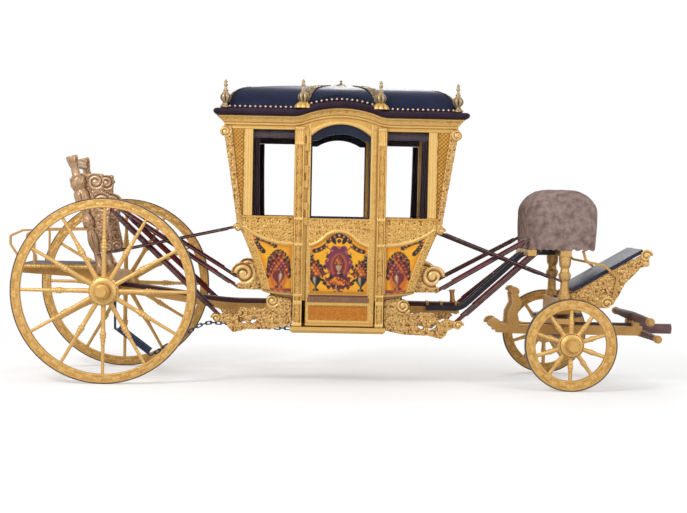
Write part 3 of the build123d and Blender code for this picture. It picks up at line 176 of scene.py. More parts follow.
sky = Finish("studio", bpy.data.worlds.new("studio"))
bpy.context.scene.world = sky.owner
light = sky.node("ShaderNodeBackground", {}, Color=WHITE, Strength=shown(sky) * (1 - AMBIENT) + AMBIENT)
sky.node("ShaderNodeOutputWorld", {}, light)

for name, place, aim, size, power in (
    ("key_lamp", (-6.5, -8.5, 8.0), (0.0, 0.0, 1.0), 3.2, 820.0),
    ("fill_lamp", (7.5, -7.0, 5.0), (0.0, 0.0, 1.2), 4.0, 260.0),
    ("back_lamp", (2.0, 9.0, 7.5), (0.0, 0.0, 1.5), 5.0, 420.0),
):
    lamp = bpy.data.objects.new(name, bpy.data.lights.new(name, "AREA"))
    lamp.data.size, lamp.data.energy = size, power
    lamp.location = place
    lamp.rotation_euler = (Vector(place) - Vector(aim)).to_track_quat("Z", "Y").to_euler()
    bpy.context.scene.collection.objects.link(lamp)

# Carving. Gilt carving is cut in wood: leaves with veins that spring from scrolled stems. A square of it
# is worked out once, so that it repeats, and every carved face takes its depth from there.
TILE, TILE_SPAN = 640, 0.40
GROUND_LEAVES, STEMS, STEM_STEPS = 520, 5, 46
rng = np.random.default_rng(7)


def held(value):
    """A value held between 0 and 1."""
    return np.clip(value, 0, 1)


def stamp(square, x, y, reach, shape):
    """Raises a square that repeats by a shape of local coordinates, about a place in metres."""
    pixel = TILE_SPAN / TILE
    span = np.arange(-int(reach / pixel), int(reach / pixel) + 1)
    columns, rows = int(x / pixel) + span, int(y / pixel) + span
    dx = (columns * pixel - x)[None, :]
    dy = (rows * pixel - y)[:, None]
    at = np.ix_(rows % TILE, columns % TILE)
    square[at] = np.maximum(square[at], shape(dx, dy))


def leaf(angle, length, wide, rise=1.0):
    """A lobed leaf with a midrib and slanting veins, as a shape for stamp."""
    def shape(dx, dy):
        u = (dx * cos(angle) + dy * sin(angle)) / length
        v = np.abs(-dx * sin(angle) + dy * cos(angle)) / wide
        inside = held(u)
        lobes = 0.72 + 0.28 * np.abs(np.cos(pi * (4.2 * inside + 0.55 * v)))
        half = np.sin(pi * inside ** 0.8) ** 0.7 * lobes
        fall = held(1 - (v / np.maximum(half, 1e-3)) ** 2) ** 0.5
        veins = 0.74 + 0.26 * np.cos(2 * pi * (4.2 * inside + 1.3 * v))
        rib = np.exp(-(v / 0.12) ** 2) * 0.25
        return np.where((u > 0) & (u < 1), rise * fall * (veins * (0.65 + 0.35 * inside) + rib), 0)
    return shape


def disc(radius, rise):
    def shape(dx, dy):
        return rise * np.sqrt(held(1 - (dx ** 2 + dy ** 2) / radius ** 2))
    return shape


def foliage_square():
    """Scrolled stems with leaves thrown off both sides, over a ground of small leaves."""
    square = np.zeros((TILE, TILE))
    for _ in range(GROUND_LEAVES):
        x, y = rng.uniform(0, TILE_SPAN, 2)
        stamp(square, x, y, 0.036, leaf(rng.uniform(0, 2 * pi), 0.032, 0.010, 0.62))
    for row, column in np.ndindex(STEMS, STEMS):
        x, y = (column + 0.5) * TILE_SPAN / STEMS, (row + 0.5) * TILE_SPAN / STEMS
        turn = 1 if (row + column) % 2 else -1
        start = rng.uniform(0, 2 * pi)
        for step in range(STEM_STEPS):
            t = step / (STEM_STEPS - 1)
            radius, angle = 0.037 * (1 - 0.82 * t), start + turn * t * 3.4 * pi
            px, py = x + radius * cos(angle), y + radius * sin(angle)
            stamp(square, px, py, 0.010, disc(0.0054 * (1 - 0.35 * t), 0.85))
            if step % 5 == 0 and step < 36:
                heading = angle + turn * (pi / 2 - 0.75)
                stamp(square, px, py, 0.05, leaf(heading, 0.035 * (1 - 0.4 * t), 0.0115, 1.0))
        stamp(square, x, y, 0.016, disc(0.0105, 1.0))
    return np.clip(square, 0.12, 1)


def lattice_square(count=10):
    """A small diaper of bosses in crossed bands, as on the corner panels."""
    u, v = np.meshgrid(*[(np.arange(TILE) + 0.5) / TILE] * 2)
    bosses = np.cos(2 * pi * count * u) * np.cos(2 * pi * count * v)
    bands = np.abs(np.cos(pi * count * (u + v))) ** 6 + np.abs(np.cos(pi * count * (u - v))) ** 6
    return held(0.45 * held(bosses) ** 0.6 + 0.55 * held(bands))


FOLIAGE, LATTICE = foliage_square(), lattice_square()


def sampled(square, u, v, scale=1.0):
    """The height of a repeated square at places in metres, between its pixels."""
    x, y = (np.asarray(place) / (TILE_SPAN * scale) * TILE for place in (u, v))
    column, row = np.floor(x).astype(int), np.floor(y).astype(int)
    fx, fy = x - column, y - row
    low, high = (square[r % TILE, column % TILE] * (1 - fx) + square[r % TILE, (column + 1) % TILE] * fx
                 for r in (row, row + 1))
    return mixed(low, high, fy)


def mixed(first, second, share):
    return first * (1 - share) + second * share


# Meshes. A piece is gathered from grids of points, each with the depth of its carving and, where it is
# painted, a colour. Then it rides on a body, and may stand for a plain solid.
def give(mesh, name, values, kind="FLOAT"):
    """Sets a number, or a colour, on each point of a mesh."""
    values = np.ascontiguousarray(values, np.float32).reshape(-1)
    mesh.attributes.new(name, kind, "POINT").data.foreach_set("value" if kind == "FLOAT" else "color", values)


def linked(name, mesh):
    made = bpy.data.objects.new(name, mesh)
    bpy.context.scene.collection.objects.link(made)
    return made


def finished(made, body, material, replaces=(), smooth=True):
    """Gives a piece its finish, the body it rides on and the solids it stands for."""
    made.data.polygons.foreach_set("use_smooth", [smooth] * len(made.data.polygons))
    made.data.materials.clear()
    made.data.materials.append(material)
    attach(made, body)
    if replaces:
        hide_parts(*replaces)
    return made


class Shape:
    """A mesh gathered from grids of points."""

    def __init__(self):
        self.points, self.faces, self.relief, self.paint = [], [], [], []
        self.count = 0

    def grid(self, points, relief=0.7, wrap_u=False, wrap_v=False, paint=None, flip=False):
        rows, columns = points.shape[:2]
        index = self.count + np.arange(rows * columns).reshape(rows, columns)
        if wrap_u:
            index = np.vstack([index, index[:1]])
        if wrap_v:
            index = np.hstack([index, index[:, :1]])
        corners = (index[:-1, :-1], index[:-1, 1:], index[1:, 1:], index[1:, :-1])
        self.faces.append(np.stack(corners[::-1] if flip else corners, axis=-1).reshape(-1, 4))
        self.points.append(points.reshape(-1, 3))
        self.relief.append(np.broadcast_to(relief, (rows, columns)).reshape(-1))
        self.paint.append((np.zeros((rows, columns, 4)) if paint is None else paint).reshape(-1, 4))
        self.count += rows * columns

    def piece(self, name, material, slot="gilt_wood", replaces=(), body="carriage", smooth=True):
        mesh = bpy.data.meshes.new(name)
        mesh.from_pydata(np.vstack(self.points).tolist(), [], np.vstack(self.faces).tolist())
        give(mesh, "relief", np.concatenate(self.relief))
        paint = np.vstack(self.paint)
        if paint.any():
            give(mesh, "paint", paint, "FLOAT_COLOR")
            give(mesh, "cover", paint[:, 3])
        return finished(linked(name, mesh), body, material, replaces, smooth)


def full_turn(count):
    return np.linspace(0, 2 * pi, count, endpoint=False)


def revolved(shape, foot, head, profile, around=24, flutes=None, sub=1, caps=True):
    """Adds turned work between two places. profile is (share of length, radius) in metres; flutes is a
    function of share and angle that gives the carving's height from 0 to 1 and its depth in metres."""
    foot, head = np.array(foot, float), np.array(head, float)
    axis = head - foot
    length = np.linalg.norm(axis)
    axis /= length
    side = np.cross(axis, (0.0, 0.0, 1.0) if abs(axis[2]) < 0.9 else (0.0, 1.0, 0.0))
    side /= np.linalg.norm(side)
    third = np.cross(axis, side)
    shares, radii = np.array(profile, float).T
    if sub > 1:
        steps = np.linspace(0, len(profile) - 1, (len(profile) - 1) * sub + 1)
        shares = np.interp(steps, range(len(profile)), shares)
        radii = np.interp(steps, range(len(profile)), radii)
    if caps:
        shares = np.concatenate([shares[:1], shares, shares[-1:]])
        radii = np.concatenate([[0.0005], radii, [0.0005]])
    share, turn = np.meshgrid(shares, full_turn(around), indexing="ij")
    radius = np.repeat(radii[:, None], around, axis=1)
    relief = np.full(radius.shape, 0.7)
    if flutes:
        relief, depth = flutes(share, turn)
        radius = np.maximum(radius - depth * (1 - relief), 0.0004)
    points = (foot + axis * (share * length)[..., None]
              + side * (radius * np.cos(turn))[..., None] + third * (radius * np.sin(turn))[..., None])
    shape.grid(points, relief, wrap_v=True)


def evaluated(made):
    return bpy.data.meshes.new_from_object(made.evaluated_get(bpy.context.evaluated_depsgraph_get()))


def remeshed(node, name, voxel):
    """A copy of a plain solid in small even faces, with its points and their normals."""
    made = linked(name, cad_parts[node].data.copy())
    remesh = made.modifiers.new("remesh", "REMESH")
    remesh.mode, remesh.voxel_size = "VOXEL", voxel
    bpy.context.view_layer.update()
    mesh = evaluated(made)
    made.modifiers.clear()
    made.data = mesh
    points, normals = np.empty((2, len(mesh.vertices) * 3))
    mesh.vertices.foreach_get("co", points)
    mesh.vertices.foreach_get("normal", normals)
    return made, points.reshape(-1, 3), normals.reshape(-1, 3)


def carved(node, material, depth, volutes=(), voxel=0.0083, scale=1.05):
    """A carved copy of a plain solid, cut inwards by the repeated square on all its faces, but by a spiral
    in its volutes, which are given by their eye (x, z) and radius."""
    made, points, normals = remeshed(node, node + "_carved", voxel)
    weights = np.abs(normals) ** 3
    weights /= weights.sum(axis=1, keepdims=True)
    x, y, z = points.T
    height = (weights[:, 1] * sampled(FOLIAGE, x, z, scale)
              + weights[:, 0] * sampled(FOLIAGE, y, z + 0.07, scale)
              + weights[:, 2] * sampled(FOLIAGE, x + 0.05, y, scale))
    for eye_x, eye_z, radius in volutes:
        away, angle = np.hypot(x - eye_x, z - eye_z), np.arctan2(z - eye_z, x - eye_x)
        hand = 1 if eye_x * eye_z > 0 else -1
        spiral = (0.5 + 0.5 * np.cos(2 * pi * away / (radius / 2.1) + hand * angle)) ** 0.6
        spiral = np.where(away < radius * 0.22, 1.0, spiral)
        within = held((radius * 1.05 - away) / 0.010) * (weights[:, 1] > 0.5)
        height = mixed(height, spiral, within)
    made.data.vertices.foreach_set("co", (points - normals * (depth * (1 - height))[:, None]).reshape(-1))
    give(made.data, "relief", height)
    return finished(made, "carriage", material, [node])


# Gilding: leaf over a red-brown ground. Its colour follows the carving's relief: a painted highlight on the
# high places, and a brown in the hollows that is partly grime and partly painted shade. Where a mesh carries
# a paint colour, oil paint under old varnish covers the leaf, with painted shade in its hollows and a painted
# highlight on its high places.
# High, mid and low gold, and last the hollows' brown, which is partly grime and partly painted shade.
GOLDS = (0.75, 0.50, 0.185), (0.55, 0.30, 0.068), (0.27, 0.120, 0.034), (0.050, 0.020, 0.010)


def gilding(name, high=GOLDS[0], mid=GOLDS[1], low=GOLDS[2], dirt_and_shade=GOLDS[3], metal=0.5, fine=90.0):
    finish = Finish(name)
    relief = finish.read("relief")
    worn = finish.noise(9.0, 5.0)
    small = finish.cells(fine)
    grain = finish.noise(240.0, 3.0)
    tone = (relief + (worn - 0.5) * 0.32 + (small - 0.35) * 0.30 + (grain - 0.5) * 0.12).kept()
    # From the hollows' brown (grime and painted shade) up to a painted highlight on the high places.
    gold = finish.ramp(tone, (0.06, dirt_and_shade), (0.24, low), (0.46, mid), (0.95, high))
    # Painted shade in the hollows and a painted highlight on the high places, laid over the paint colour.
    shade = finish.ramp(tone, (0.0, (0.30, 0.24, 0.22)), (0.55, (0.90, 0.90, 0.90)),
                        (1.0, (1.15, 1.15, 1.12)))
    cover = finish.read("cover")
    painted = finish.blend(1.0, finish.read("paint", out=0), shade, "MULTIPLY")
    height = small * 0.6 + grain * 0.4
    return finish.surface(Base_Color=finish.blend(cover, gold, painted),
                          Metallic=((tone * metal + 0.15) * (1 - cover)).kept(),
                          Roughness=0.58 - tone * 0.22 - cover * 0.06, Specular_IOR_Level=0.2,
                          Normal=finish.bump(height, 0.0022, 0.8))


gilt = gilding("gilt")
aged_gilt = gilding("aged_gilt", (0.40, 0.30, 0.17), (0.19, 0.125, 0.065), (0.065, 0.040, 0.026),
                    (0.018, 0.011, 0.009), metal=0.6)


def dress(material, *nodes):
    """Gives nodes whose solids are right already their finish."""
    for node in nodes:
        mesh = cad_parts[node].data
        mesh.materials.clear()
        mesh.materials.append(material)
        if "relief" not in mesh.attributes:
            give(mesh, "relief", np.full(len(mesh.vertices), 0.62))


def plain(name, light, dark, scale, rough=0.55, metal=0.0, bump=0.0008, shine=0.5, stretch=(1, 1, 1)):
    """Iron, leather, wood or cloth, whose colour lies between two, with its own grain and wear."""
    finish = Finish(name)
    at = finish.stretched(*stretch)
    broad = finish.noise(scale, 6.0, 0.6, at)
    grain = finish.noise(scale * 14, 3.0, 0.5, at)
    colour = finish.ramp(broad * 0.7 + grain * 0.3, (0.30, dark), (0.68, light))
    return finish.surface(Base_Color=colour, Roughness=rough + (broad - 0.5) * 0.25, Metallic=metal,
                          Specular_IOR_Level=shine, Normal=finish.bump(broad * 0.5 + grain * 0.5, bump))


# The body's form, as the carvers met it: sides that turn under below the waist, ends that rake, and a belly.
# Skins of carving and paint are laid on these faces.
BODY_X, BODY_TOP_Z, BODY_TOP_HALF = -0.090, 2.468, 1.095
HALF_WIDTH, WAIST_Z, WAIST_HALF = 0.700, 1.540, 0.960
FOOT_Z, FOOT_HALF, FOOT_WIDTH, STRAIGHT_FOOT_Z = 0.890, 0.716, 0.640, 0.760
SILL_Z, WINDOW_HEAD_Z, WINDOW_NEAR, WINDOW_FAR = 1.612, 2.430, 0.438, 0.834
PILASTER_OUT = 0.433


def through(first, middle, last):
    """The centre and radius of the circle through three places of a plane."""
    (ax, ay), (bx, by), (cx, cy) = first, middle, last
    twice = 2 * (ax * (by - cy) + bx * (cy - ay) + cx * (ay - by))
    a, b, c = ax * ax + ay * ay, bx * bx + by * by, cx * cx + cy * cy
    x = (a * (by - cy) + b * (cy - ay) + c * (ay - by)) / twice
    y = (a * (cx - bx) + b * (ax - cx) + c * (bx - ax)) / twice
    return x, y, hypot(ax - x, ay - y)


def beside(circle, height, hand):
    """How far out a circle stands at a height, on the hand that is 1 or -1."""
    x, z, radius = circle
    return x + hand * np.sqrt(np.maximum(radius ** 2 - (height - z) ** 2, 0))


def over(circle, out, hand):
    """How high a circle stands at a distance, on the hand that is 1 for its top or -1 for its foot."""
    x, z, radius = circle
    return z + hand * np.sqrt(np.maximum(radius ** 2 - (out - x) ** 2, 0))


TURN_UNDER = through((HALF_WIDTH, WAIST_Z), (HALF_WIDTH - 0.013, 1.180), (FOOT_WIDTH, STRAIGHT_FOOT_Z))
END_SWEEP = through((WAIST_HALF, WAIST_Z), (0.806, 1.180), (FOOT_HALF, FOOT_Z))
BELLY = through((-FOOT_HALF, FOOT_Z), (0.0, 0.790), (FOOT_HALF, FOOT_Z))


def face_y(z):
    """How far the body's side stands from the centre line at a height."""
    curved = beside(TURN_UNDER, z, 1)
    return np.where(z >= WAIST_Z, HALF_WIDTH, np.where(z <= STRAIGHT_FOOT_Z, FOOT_WIDTH, curved))


def end_x(z):
    """How far the body's end stands from its middle at a height."""
    raked = WAIST_HALF + (z - WAIST_Z) * (BODY_TOP_HALF - WAIST_HALF) / (BODY_TOP_Z - WAIST_Z)
    return np.where(z >= WAIST_Z, raked, beside(END_SWEEP, np.maximum(z, FOOT_Z), -1))


def edged(count):
    """Shares across a skin, with one more close to each edge, where it turns down to what carries it."""
    inner = np.linspace(0, 1, count + 1)
    return np.concatenate([[0, 0.12 / count], inner[1:-1], [1 - 0.12 / count, 1]])


def rounded(off, half):
    """A rounded moulding: 1 on its line and 0 at half its width."""
    return np.sqrt(held(1 - (off / half) ** 2))


def soft_step(value, edge, wide=0.004):
    return held((value - edge) / wide + 0.5)


def tucked(height, foot=-0.002):
    """A skin's height, with its edges turned down to what carries it."""
    height = np.array(height, float)
    height[[0, -1], :] = foot
    height[:, [0, -1]] = foot
    return height


def skin(shape, x, z, side, height, relief, paint=None, foot=-0.002):
    """Lays a grid of carving on a side of the body. x runs from the body's middle."""
    points = np.stack([BODY_X + x, side * (face_y(z) + tucked(height, foot)), z], axis=-1)
    turned_over = side * (1 if x[0, -1] > x[0, 0] else -1) > 0
    shape.grid(points, relief, paint=paint, flip=turned_over)


def moulded(height, relief, line, proud, shine=0.84):
    """A skin's height and relief with a moulding laid over them, with a painted highlight on its crest."""
    return np.maximum(height, line * proud), np.where(line > 0.15, shine * (0.45 + 0.55 * line), relief)


# Painted panels: garlands, urns and blossoms in oils on a golden yellow ground, darkened at its edges.
YELLOW, ORANGE, MAROON = (0.86, 0.42, 0.030), (0.66, 0.23, 0.018), (0.17, 0.030, 0.034)
RED, PURPLE, LEAF_DARK = (0.50, 0.11, 0.030), (0.16, 0.045, 0.085), (0.016, 0.022, 0.026)
CREAM, FRUIT = (0.66, 0.52, 0.30), (0.70, 0.24, 0.035)
STEEP = 0.005


class Painting:
    """Paint on a face: a colour and how far it covers the leaf, at places in metres."""

    def __init__(self, x, z):
        self.x, self.z = x, z
        self.colour = np.zeros(x.shape + (4,))

    def lay(self, share, colour):
        share = held(share)
        self.colour[..., :3] += (np.array(colour) - self.colour[..., :3]) * share[..., None]
        self.colour[..., 3] = np.maximum(self.colour[..., 3], share)

    def blossom(self, x, z, radius, petal, heart, petals=6, turn=0.0):
        dx, dz = self.x - x, self.z - z
        far, angle = np.hypot(dx, dz), np.arctan2(dz, dx) + turn
        edge = radius * (0.74 + 0.26 * np.abs(np.cos(angle * petals / 2)))
        self.lay((edge - far) / STEEP + 0.5, petal)
        self.lay((radius * 0.38 - far) / STEEP + 0.5, heart)

    def stroke(self, points, wide, colour):
        near = np.full(self.x.shape, 9.0)
        for (ax, az), (bx, bz) in zip(points, points[1:]):
            run = (bx - ax) ** 2 + (bz - az) ** 2
            t = held(((self.x - ax) * (bx - ax) + (self.z - az) * (bz - az)) / run)
            near = np.minimum(near, np.hypot(self.x - ax - t * (bx - ax), self.z - az - t * (bz - az)))
        self.lay((wide / 2 - near) / STEEP + 0.5, colour)

    def leaf(self, x, z, angle, length, wide, colour):
        dx, dz = self.x - x, self.z - z
        along = (dx * cos(angle) + dz * sin(angle)) / length
        off = np.abs(-dx * sin(angle) + dz * cos(angle))
        half = wide * np.sin(pi * held(along))
        self.lay(np.where((along > 0) & (along < 1), (half - off) / STEEP + 0.5, 0), colour)

    def garland(self, start, end, sag, leaves, fruit):
        """Dark leaves on a hanging stem, with fruit among them."""
        shares = np.linspace(0, 1, leaves + 1)
        line = [(start[0] + (end[0] - start[0]) * t,
                 start[1] + (end[1] - start[1]) * t - sag * 4 * t * (1 - t)) for t in shares]
        self.stroke(line, 0.009, LEAF_DARK)
        for number, ((ax, az), (bx, bz)) in enumerate(zip(line, line[1:])):
            heading = atan2(bz - az, bx - ax)
            for hand in (-1, 1):
                self.leaf(ax, az, heading + hand * 0.55, 0.042, 0.0095, LEAF_DARK)
            if number % 2 == 1:
                self.blossom(bx, bz, 0.0145, fruit, CREAM, 5)

    def scroll(self, x, z, radius, turn, colour, start=0.0):
        """A stem that curls in to an eye."""
        line = []
        for step in range(15):
            t = step / 14
            angle = start + turn * t * 2.6 * pi / 2
            line.append((x + radius * (1 - 0.75 * t) * cos(angle), z + radius * (1 - 0.75 * t) * sin(angle)))
        self.stroke(line, 0.009, colour)
        self.blossom(line[-1][0], line[-1][1], 0.010, colour, CREAM, 4)

    def urn(self, x, foot, high, half, body, flowers):
        """A footed urn with a piled bouquet of blossoms among dark leaves."""
        level = (self.z - foot) / high
        profile = np.interp(level, (0, 0.07, 0.10, 0.16, 0.34, 0.47, 0.52, 0.56),
                            (0.55, 0.50, 0.16, 0.20, 0.85, 0.95, 0.55, 0.72)) * half
        inside = (level > 0) & (level < 0.56)
        self.lay(np.where(inside, (profile - np.abs(self.x - x)) / STEEP + 0.5, 0), body)
        glint = (profile * 0.4 - np.abs(self.x - x + 0.3 * profile)) / 0.012
        self.lay(np.where(inside, glint, 0) * 0.45, CREAM)
        buds = []
        for row, (share, spread, count) in enumerate(((0.62, 1.15, 5), (0.72, 0.95, 4), (0.82, 0.68, 3),
                                                      (0.92, 0.38, 2), (1.0, 0.0, 1))):
            for number in range(count):
                t = 0.5 if count == 1 else number / (count - 1)
                buds.append((row, number, x + (t - 0.5) * 2 * spread * half, foot + share * high))
        for row, _, bx, bz in buds:
            for spoke in range(4):
                self.leaf(bx, bz, spoke * pi / 2 + row, half * 0.80, half * 0.24,
                          (LEAF_DARK, MAROON)[spoke % 2])
        for row, number, bx, bz in buds:
            self.blossom(bx, bz, half * 0.30, flowers[(row + number) % len(flowers)],
                         (FRUIT, RED)[number % 2], 5 + row % 2, row)


def panel_ground(painting, inside, depth):
    """The golden ground of a panel, brighter in its middle. depth is the distance in from its edge."""
    painting.lay(inside, ORANGE)
    painting.lay(inside * held(depth / 0.060) * 0.92, YELLOW)


# Body sides: oak panels with the lights cut through. Below the waist each has a painted panel in a carved
# border, under a moulding that sweeps up to the corner; the light's outer post is burnished, then diapered.
SKIN_STEP = 0.0062
SWEEP = through((0.880, 1.490), (0.668, 1.385), (0.446, 1.352))
MOULD_HALF, MOULD_PROUD = 0.014, 0.015
BORDER = 0.072
DIAPER = (0.80, 0.36, 0.028)


def quarter_foot(shape, side, end):
    """The body's side below a quarter light."""
    columns, rows = edged(78), edged(int((SILL_Z - 0.84) / SKIN_STEP))
    u, v = np.meshgrid(columns, rows)
    low = over(BELLY, PILASTER_OUT + u * (FOOT_HALF - PILASTER_OUT), -1)
    z = low + v * (SILL_Z - low)
    edge = end_x(z)
    out = PILASTER_OUT + u * (edge - PILASTER_OUT)
    sweep = over(SWEEP, np.clip(out, 0.40, 0.90), 1 if SWEEP[1] < 1.4 else -1)
    from_sweep = z - sweep
    mould = rounded(from_sweep, MOULD_HALF)
    leafy = sampled(FOLIAGE, out + 0.13, z, 0.75)
    border_leaf = sampled(FOLIAGE, out * 1.3, z * 1.1 + 0.2, 0.55)
    to_edge = edge - out
    to_foot = z - (0.884 + (out - 0.42) * 0.10)
    depth = np.minimum.reduce([to_edge - BORDER, out - PILASTER_OUT - 0.014, to_foot, -from_sweep - 0.020])
    inside = soft_step(depth, 0.0)
    fillet = rounded(depth + 0.005, 0.0055)
    above_sweep = soft_step(from_sweep, 0.010)
    foot_band = soft_step(-to_foot, 0.0)
    relief = mixed(np.where(above_sweep > 0.5, leafy, border_leaf), 0.5, foot_band)
    height = mixed(0.002 + 0.0095 * relief, 0.0015, inside)
    relief = mixed(relief, 0.62, inside)
    # The sweep and the panel's fillet get a painted highlight on their crests.
    for moulding, proud, shine in ((mould, MOULD_PROUD, 0.86), (fillet, 0.008, 0.80),
                                   (rounded(z - SILL_Z + 0.012, 0.010), 0.012, 0.45)):
        height, relief = moulded(height, relief, moulding, proud, shine)
    painting, middle = Painting(out, z), 0.570
    panel_ground(painting, inside, depth)
    painting.lay(inside * soft_step(0.925, z, 0.012) * 0.9, MAROON)
    for hand in (-1, 1):
        painting.garland((middle + hand * 0.098, 1.02), (middle + hand * 0.085, 1.20), 0.0, 8, RED)
    painting.garland((middle - 0.085, 1.20), (middle + 0.085, 1.20), -0.075, 9, MAROON)
    painting.garland((middle + 0.02, 1.315), (0.800, 1.400), -0.020, 8, RED)
    painting.garland((0.700, 1.260), (0.790, 1.370), 0.010, 5, MAROON)
    bloom = 1.9 - np.hypot((out - middle) / 0.074, (z - 1.075) / 0.155) ** 2
    painting.lay(np.clip(bloom, 0, 0.85) * inside, RED)
    painting.urn(middle, 0.925, 0.290, 0.064, MAROON, (RED, MAROON, PURPLE))
    painting.colour[..., 3] *= inside
    painting.lay(foot_band * (1 - rounded(to_foot + 0.02, 0.01)) * 0.75, (0.13, 0.045, 0.060))
    skin(shape, end * out, z, side, height, relief, painting.colour)


def quarter_post(shape, side, end):
    """The post beyond a quarter light: a burnished strip with painted highlights on its reeds, a groove in
    painted shade, and a diapered ground.
    """
    u, v = np.meshgrid(edged(30), edged(int((WINDOW_HEAD_Z - SILL_Z) / 0.0085)))
    z = SILL_Z + v * (WINDOW_HEAD_Z - SILL_Z)
    out = WINDOW_FAR + u * (end_x(z) - 0.004 - WINDOW_FAR)
    strip = soft_step(WINDOW_FAR + 0.082, out)
    groove = rounded(out - WINDOW_FAR - 0.086, 0.006)
    dots = sampled(LATTICE, out * 1.6, z * 1.6, 1.5)
    leafy = sampled(FOLIAGE, out, z, 0.6)
    reeds = np.abs(np.cos(pi * (out - WINDOW_FAR) / 0.027)) ** 0.8
    # Painted highlights along the reeds, and painted shade in the groove.
    relief = mixed(0.12 + 0.70 * dots, 0.42 + 0.14 * leafy + 0.44 * reeds, strip) * (1 - 0.9 * groove)
    height = 0.002 + mixed(0.006 * dots, 0.005 * (0.4 + 0.6 * reeds), strip) - 0.001 * groove
    painting = Painting(out, z)
    painting.lay((1 - strip) * 0.62, DIAPER)
    skin(shape, end * out, z, side, height, relief, painting.colour)


def quarter_head(shape, side, end):
    """The rail over a quarter light."""
    u, v = np.meshgrid(edged(110), edged(8))
    z = WINDOW_HEAD_Z + v * (BODY_TOP_Z - 0.002 - WINDOW_HEAD_Z)
    out = PILASTER_OUT + u * (end_x(z) - 0.004 - PILASTER_OUT)
    bead = rounded(v - 0.25, 0.2)
    # The bead's crest carries a painted highlight.
    skin(shape, end * out, z, side, 0.003 + 0.006 * bead, 0.50 + 0.40 * bead)


sides = Shape()
for side in (-1, 1):
    for end in (-1, 1):
        for laid in (quarter_foot, quarter_post, quarter_head):
            laid(sides, side, end)
sides.piece("side_carving", gilt, replaces=["side_mouldings"])
dress(gilt, "body_side_right", "body_side_left", "body_front_wall", "body_rear_wall")

# End walls: boards between the sides, carved all over, with a painted panel below the waist. The front one
# has a light; behind, a diapered panel takes its place.
FRONT_LIGHT_HALF, FRONT_LIGHT_Z = 0.450, (1.660, 2.400)
END_STEP = 0.0105


def end_patch(shape, end, half, low, high, with_panel):
    """A stretch of an end wall between two heights, across half (from, to) of its width."""
    u, v = np.meshgrid(edged(int((half[1] - half[0]) / END_STEP)), edged(int((high - low) / END_STEP)))
    z = low + v * (high - low)
    squeeze = (face_y(z) - 0.006) / (HALF_WIDTH - 0.006)
    y = (half[0] + u * (half[1] - half[0])) * squeeze
    relief = sampled(FOLIAGE, y + 0.2, z, 1.0)
    height, painting = 0.002 + 0.009 * relief, Painting(y, z)
    frames = ((0.955, 1.440, 0.520, True), (1.680, 2.380, 0.500, False))
    for foot, head, reach, pictured in frames[:1 + with_panel]:
        arch = 0.045 * np.cos(np.clip(y / reach, -1, 1) * pi)
        depth = np.minimum.reduce([z - foot, head - z + arch, reach - np.abs(y)])
        inside, fillet = soft_step(depth, 0.0), rounded(depth + 0.010, 0.011)
        ground = 0.62 if pictured else 0.2 + 0.6 * sampled(LATTICE, y * 1.2, z * 1.2, 1.8)
        relief = mixed(relief, ground, inside)
        height = mixed(height, 0.0015 if pictured else 0.002 + 0.004 * ground, inside)
        # The fillet's crest carries a painted highlight.
        height, relief = moulded(height, relief, fillet, 0.013)
        if pictured:
            panel_ground(painting, inside, depth)
            painting.garland((-0.44, 1.36), (-0.02, 1.40), 0.07, 16, RED)
            painting.garland((0.02, 1.40), (0.44, 1.36), 0.07, 16, RED)
            painting.urn(0.0, 0.990, 0.34, 0.072, MAROON, (RED, PURPLE, MAROON))
            for hand in (-1, 1):
                painting.urn(hand * 0.32, 0.975, 0.25, 0.050, PURPLE, (RED, MAROON))
                painting.scroll(hand * 0.17, 1.07, 0.055, -hand, MAROON, pi / 2)
            painting.colour[..., 3] *= inside
        else:
            painting.lay(inside * 0.62, DIAPER)
    # The waist moulding's crest carries a painted highlight.
    height, relief = moulded(height, relief, rounded(z - WAIST_Z, 0.020), 0.014)
    points = np.stack([BODY_X + end * (end_x(z) + tucked(height)), y, z], axis=-1)
    shape.grid(points, relief, paint=painting.colour, flip=end < 0)


WALL_TOP, EDGE = BODY_TOP_Z - 0.003, HALF_WIDTH - 0.006
front_wall, rear_wall = Shape(), Shape()
end_patch(rear_wall, -1, (-EDGE, EDGE), FOOT_Z + 0.004, WALL_TOP, True)
for half, low, high in (((-EDGE, EDGE), FOOT_Z + 0.004, FRONT_LIGHT_Z[0]),
                        ((-EDGE, EDGE), FRONT_LIGHT_Z[1], WALL_TOP),
                        ((-EDGE, -FRONT_LIGHT_HALF), *FRONT_LIGHT_Z),
                        ((FRONT_LIGHT_HALF, EDGE), *FRONT_LIGHT_Z)):
    end_patch(front_wall, 1, half, low, high, False)
rear_wall.piece("rear_wall_carving", gilt)
front_wall.piece("front_wall_carving", gilt)

# Doors: framed in a lip that laps the lock pillar, carved down to an ogee moulding, with a painted panel
# under it, a beaded foot rail, and a small panel that hides the step.
DOOR_REAR, DOOR_FRONT, DOOR_FOOT, LIP_IN = -0.311, 0.341, 0.594, 0.286
LIGHT_HALF, LIGHT_FOOT, LIGHT_SPRING, LIGHT_TOP = 0.284, 1.598, 2.375, 2.490
LIGHT_ARCH = through((-LIGHT_HALF, LIGHT_SPRING), (0.0, LIGHT_TOP), (LIGHT_HALF, LIGHT_SPRING))
LIP_ARCH = through((-0.312, 2.477), (0.0, 2.541), (0.342, 2.477))
LIP_PROUD, MOULD_TOP = 0.0126, 0.018
OGEE_HALF, OGEE_FOOT, OGEE_HEAD = 0.292, 1.340, 1.480
RAIL_FOOT, RAIL_HEAD = 0.765, 0.845
STEP_PANEL = (0.60, 0.24, 0.030)


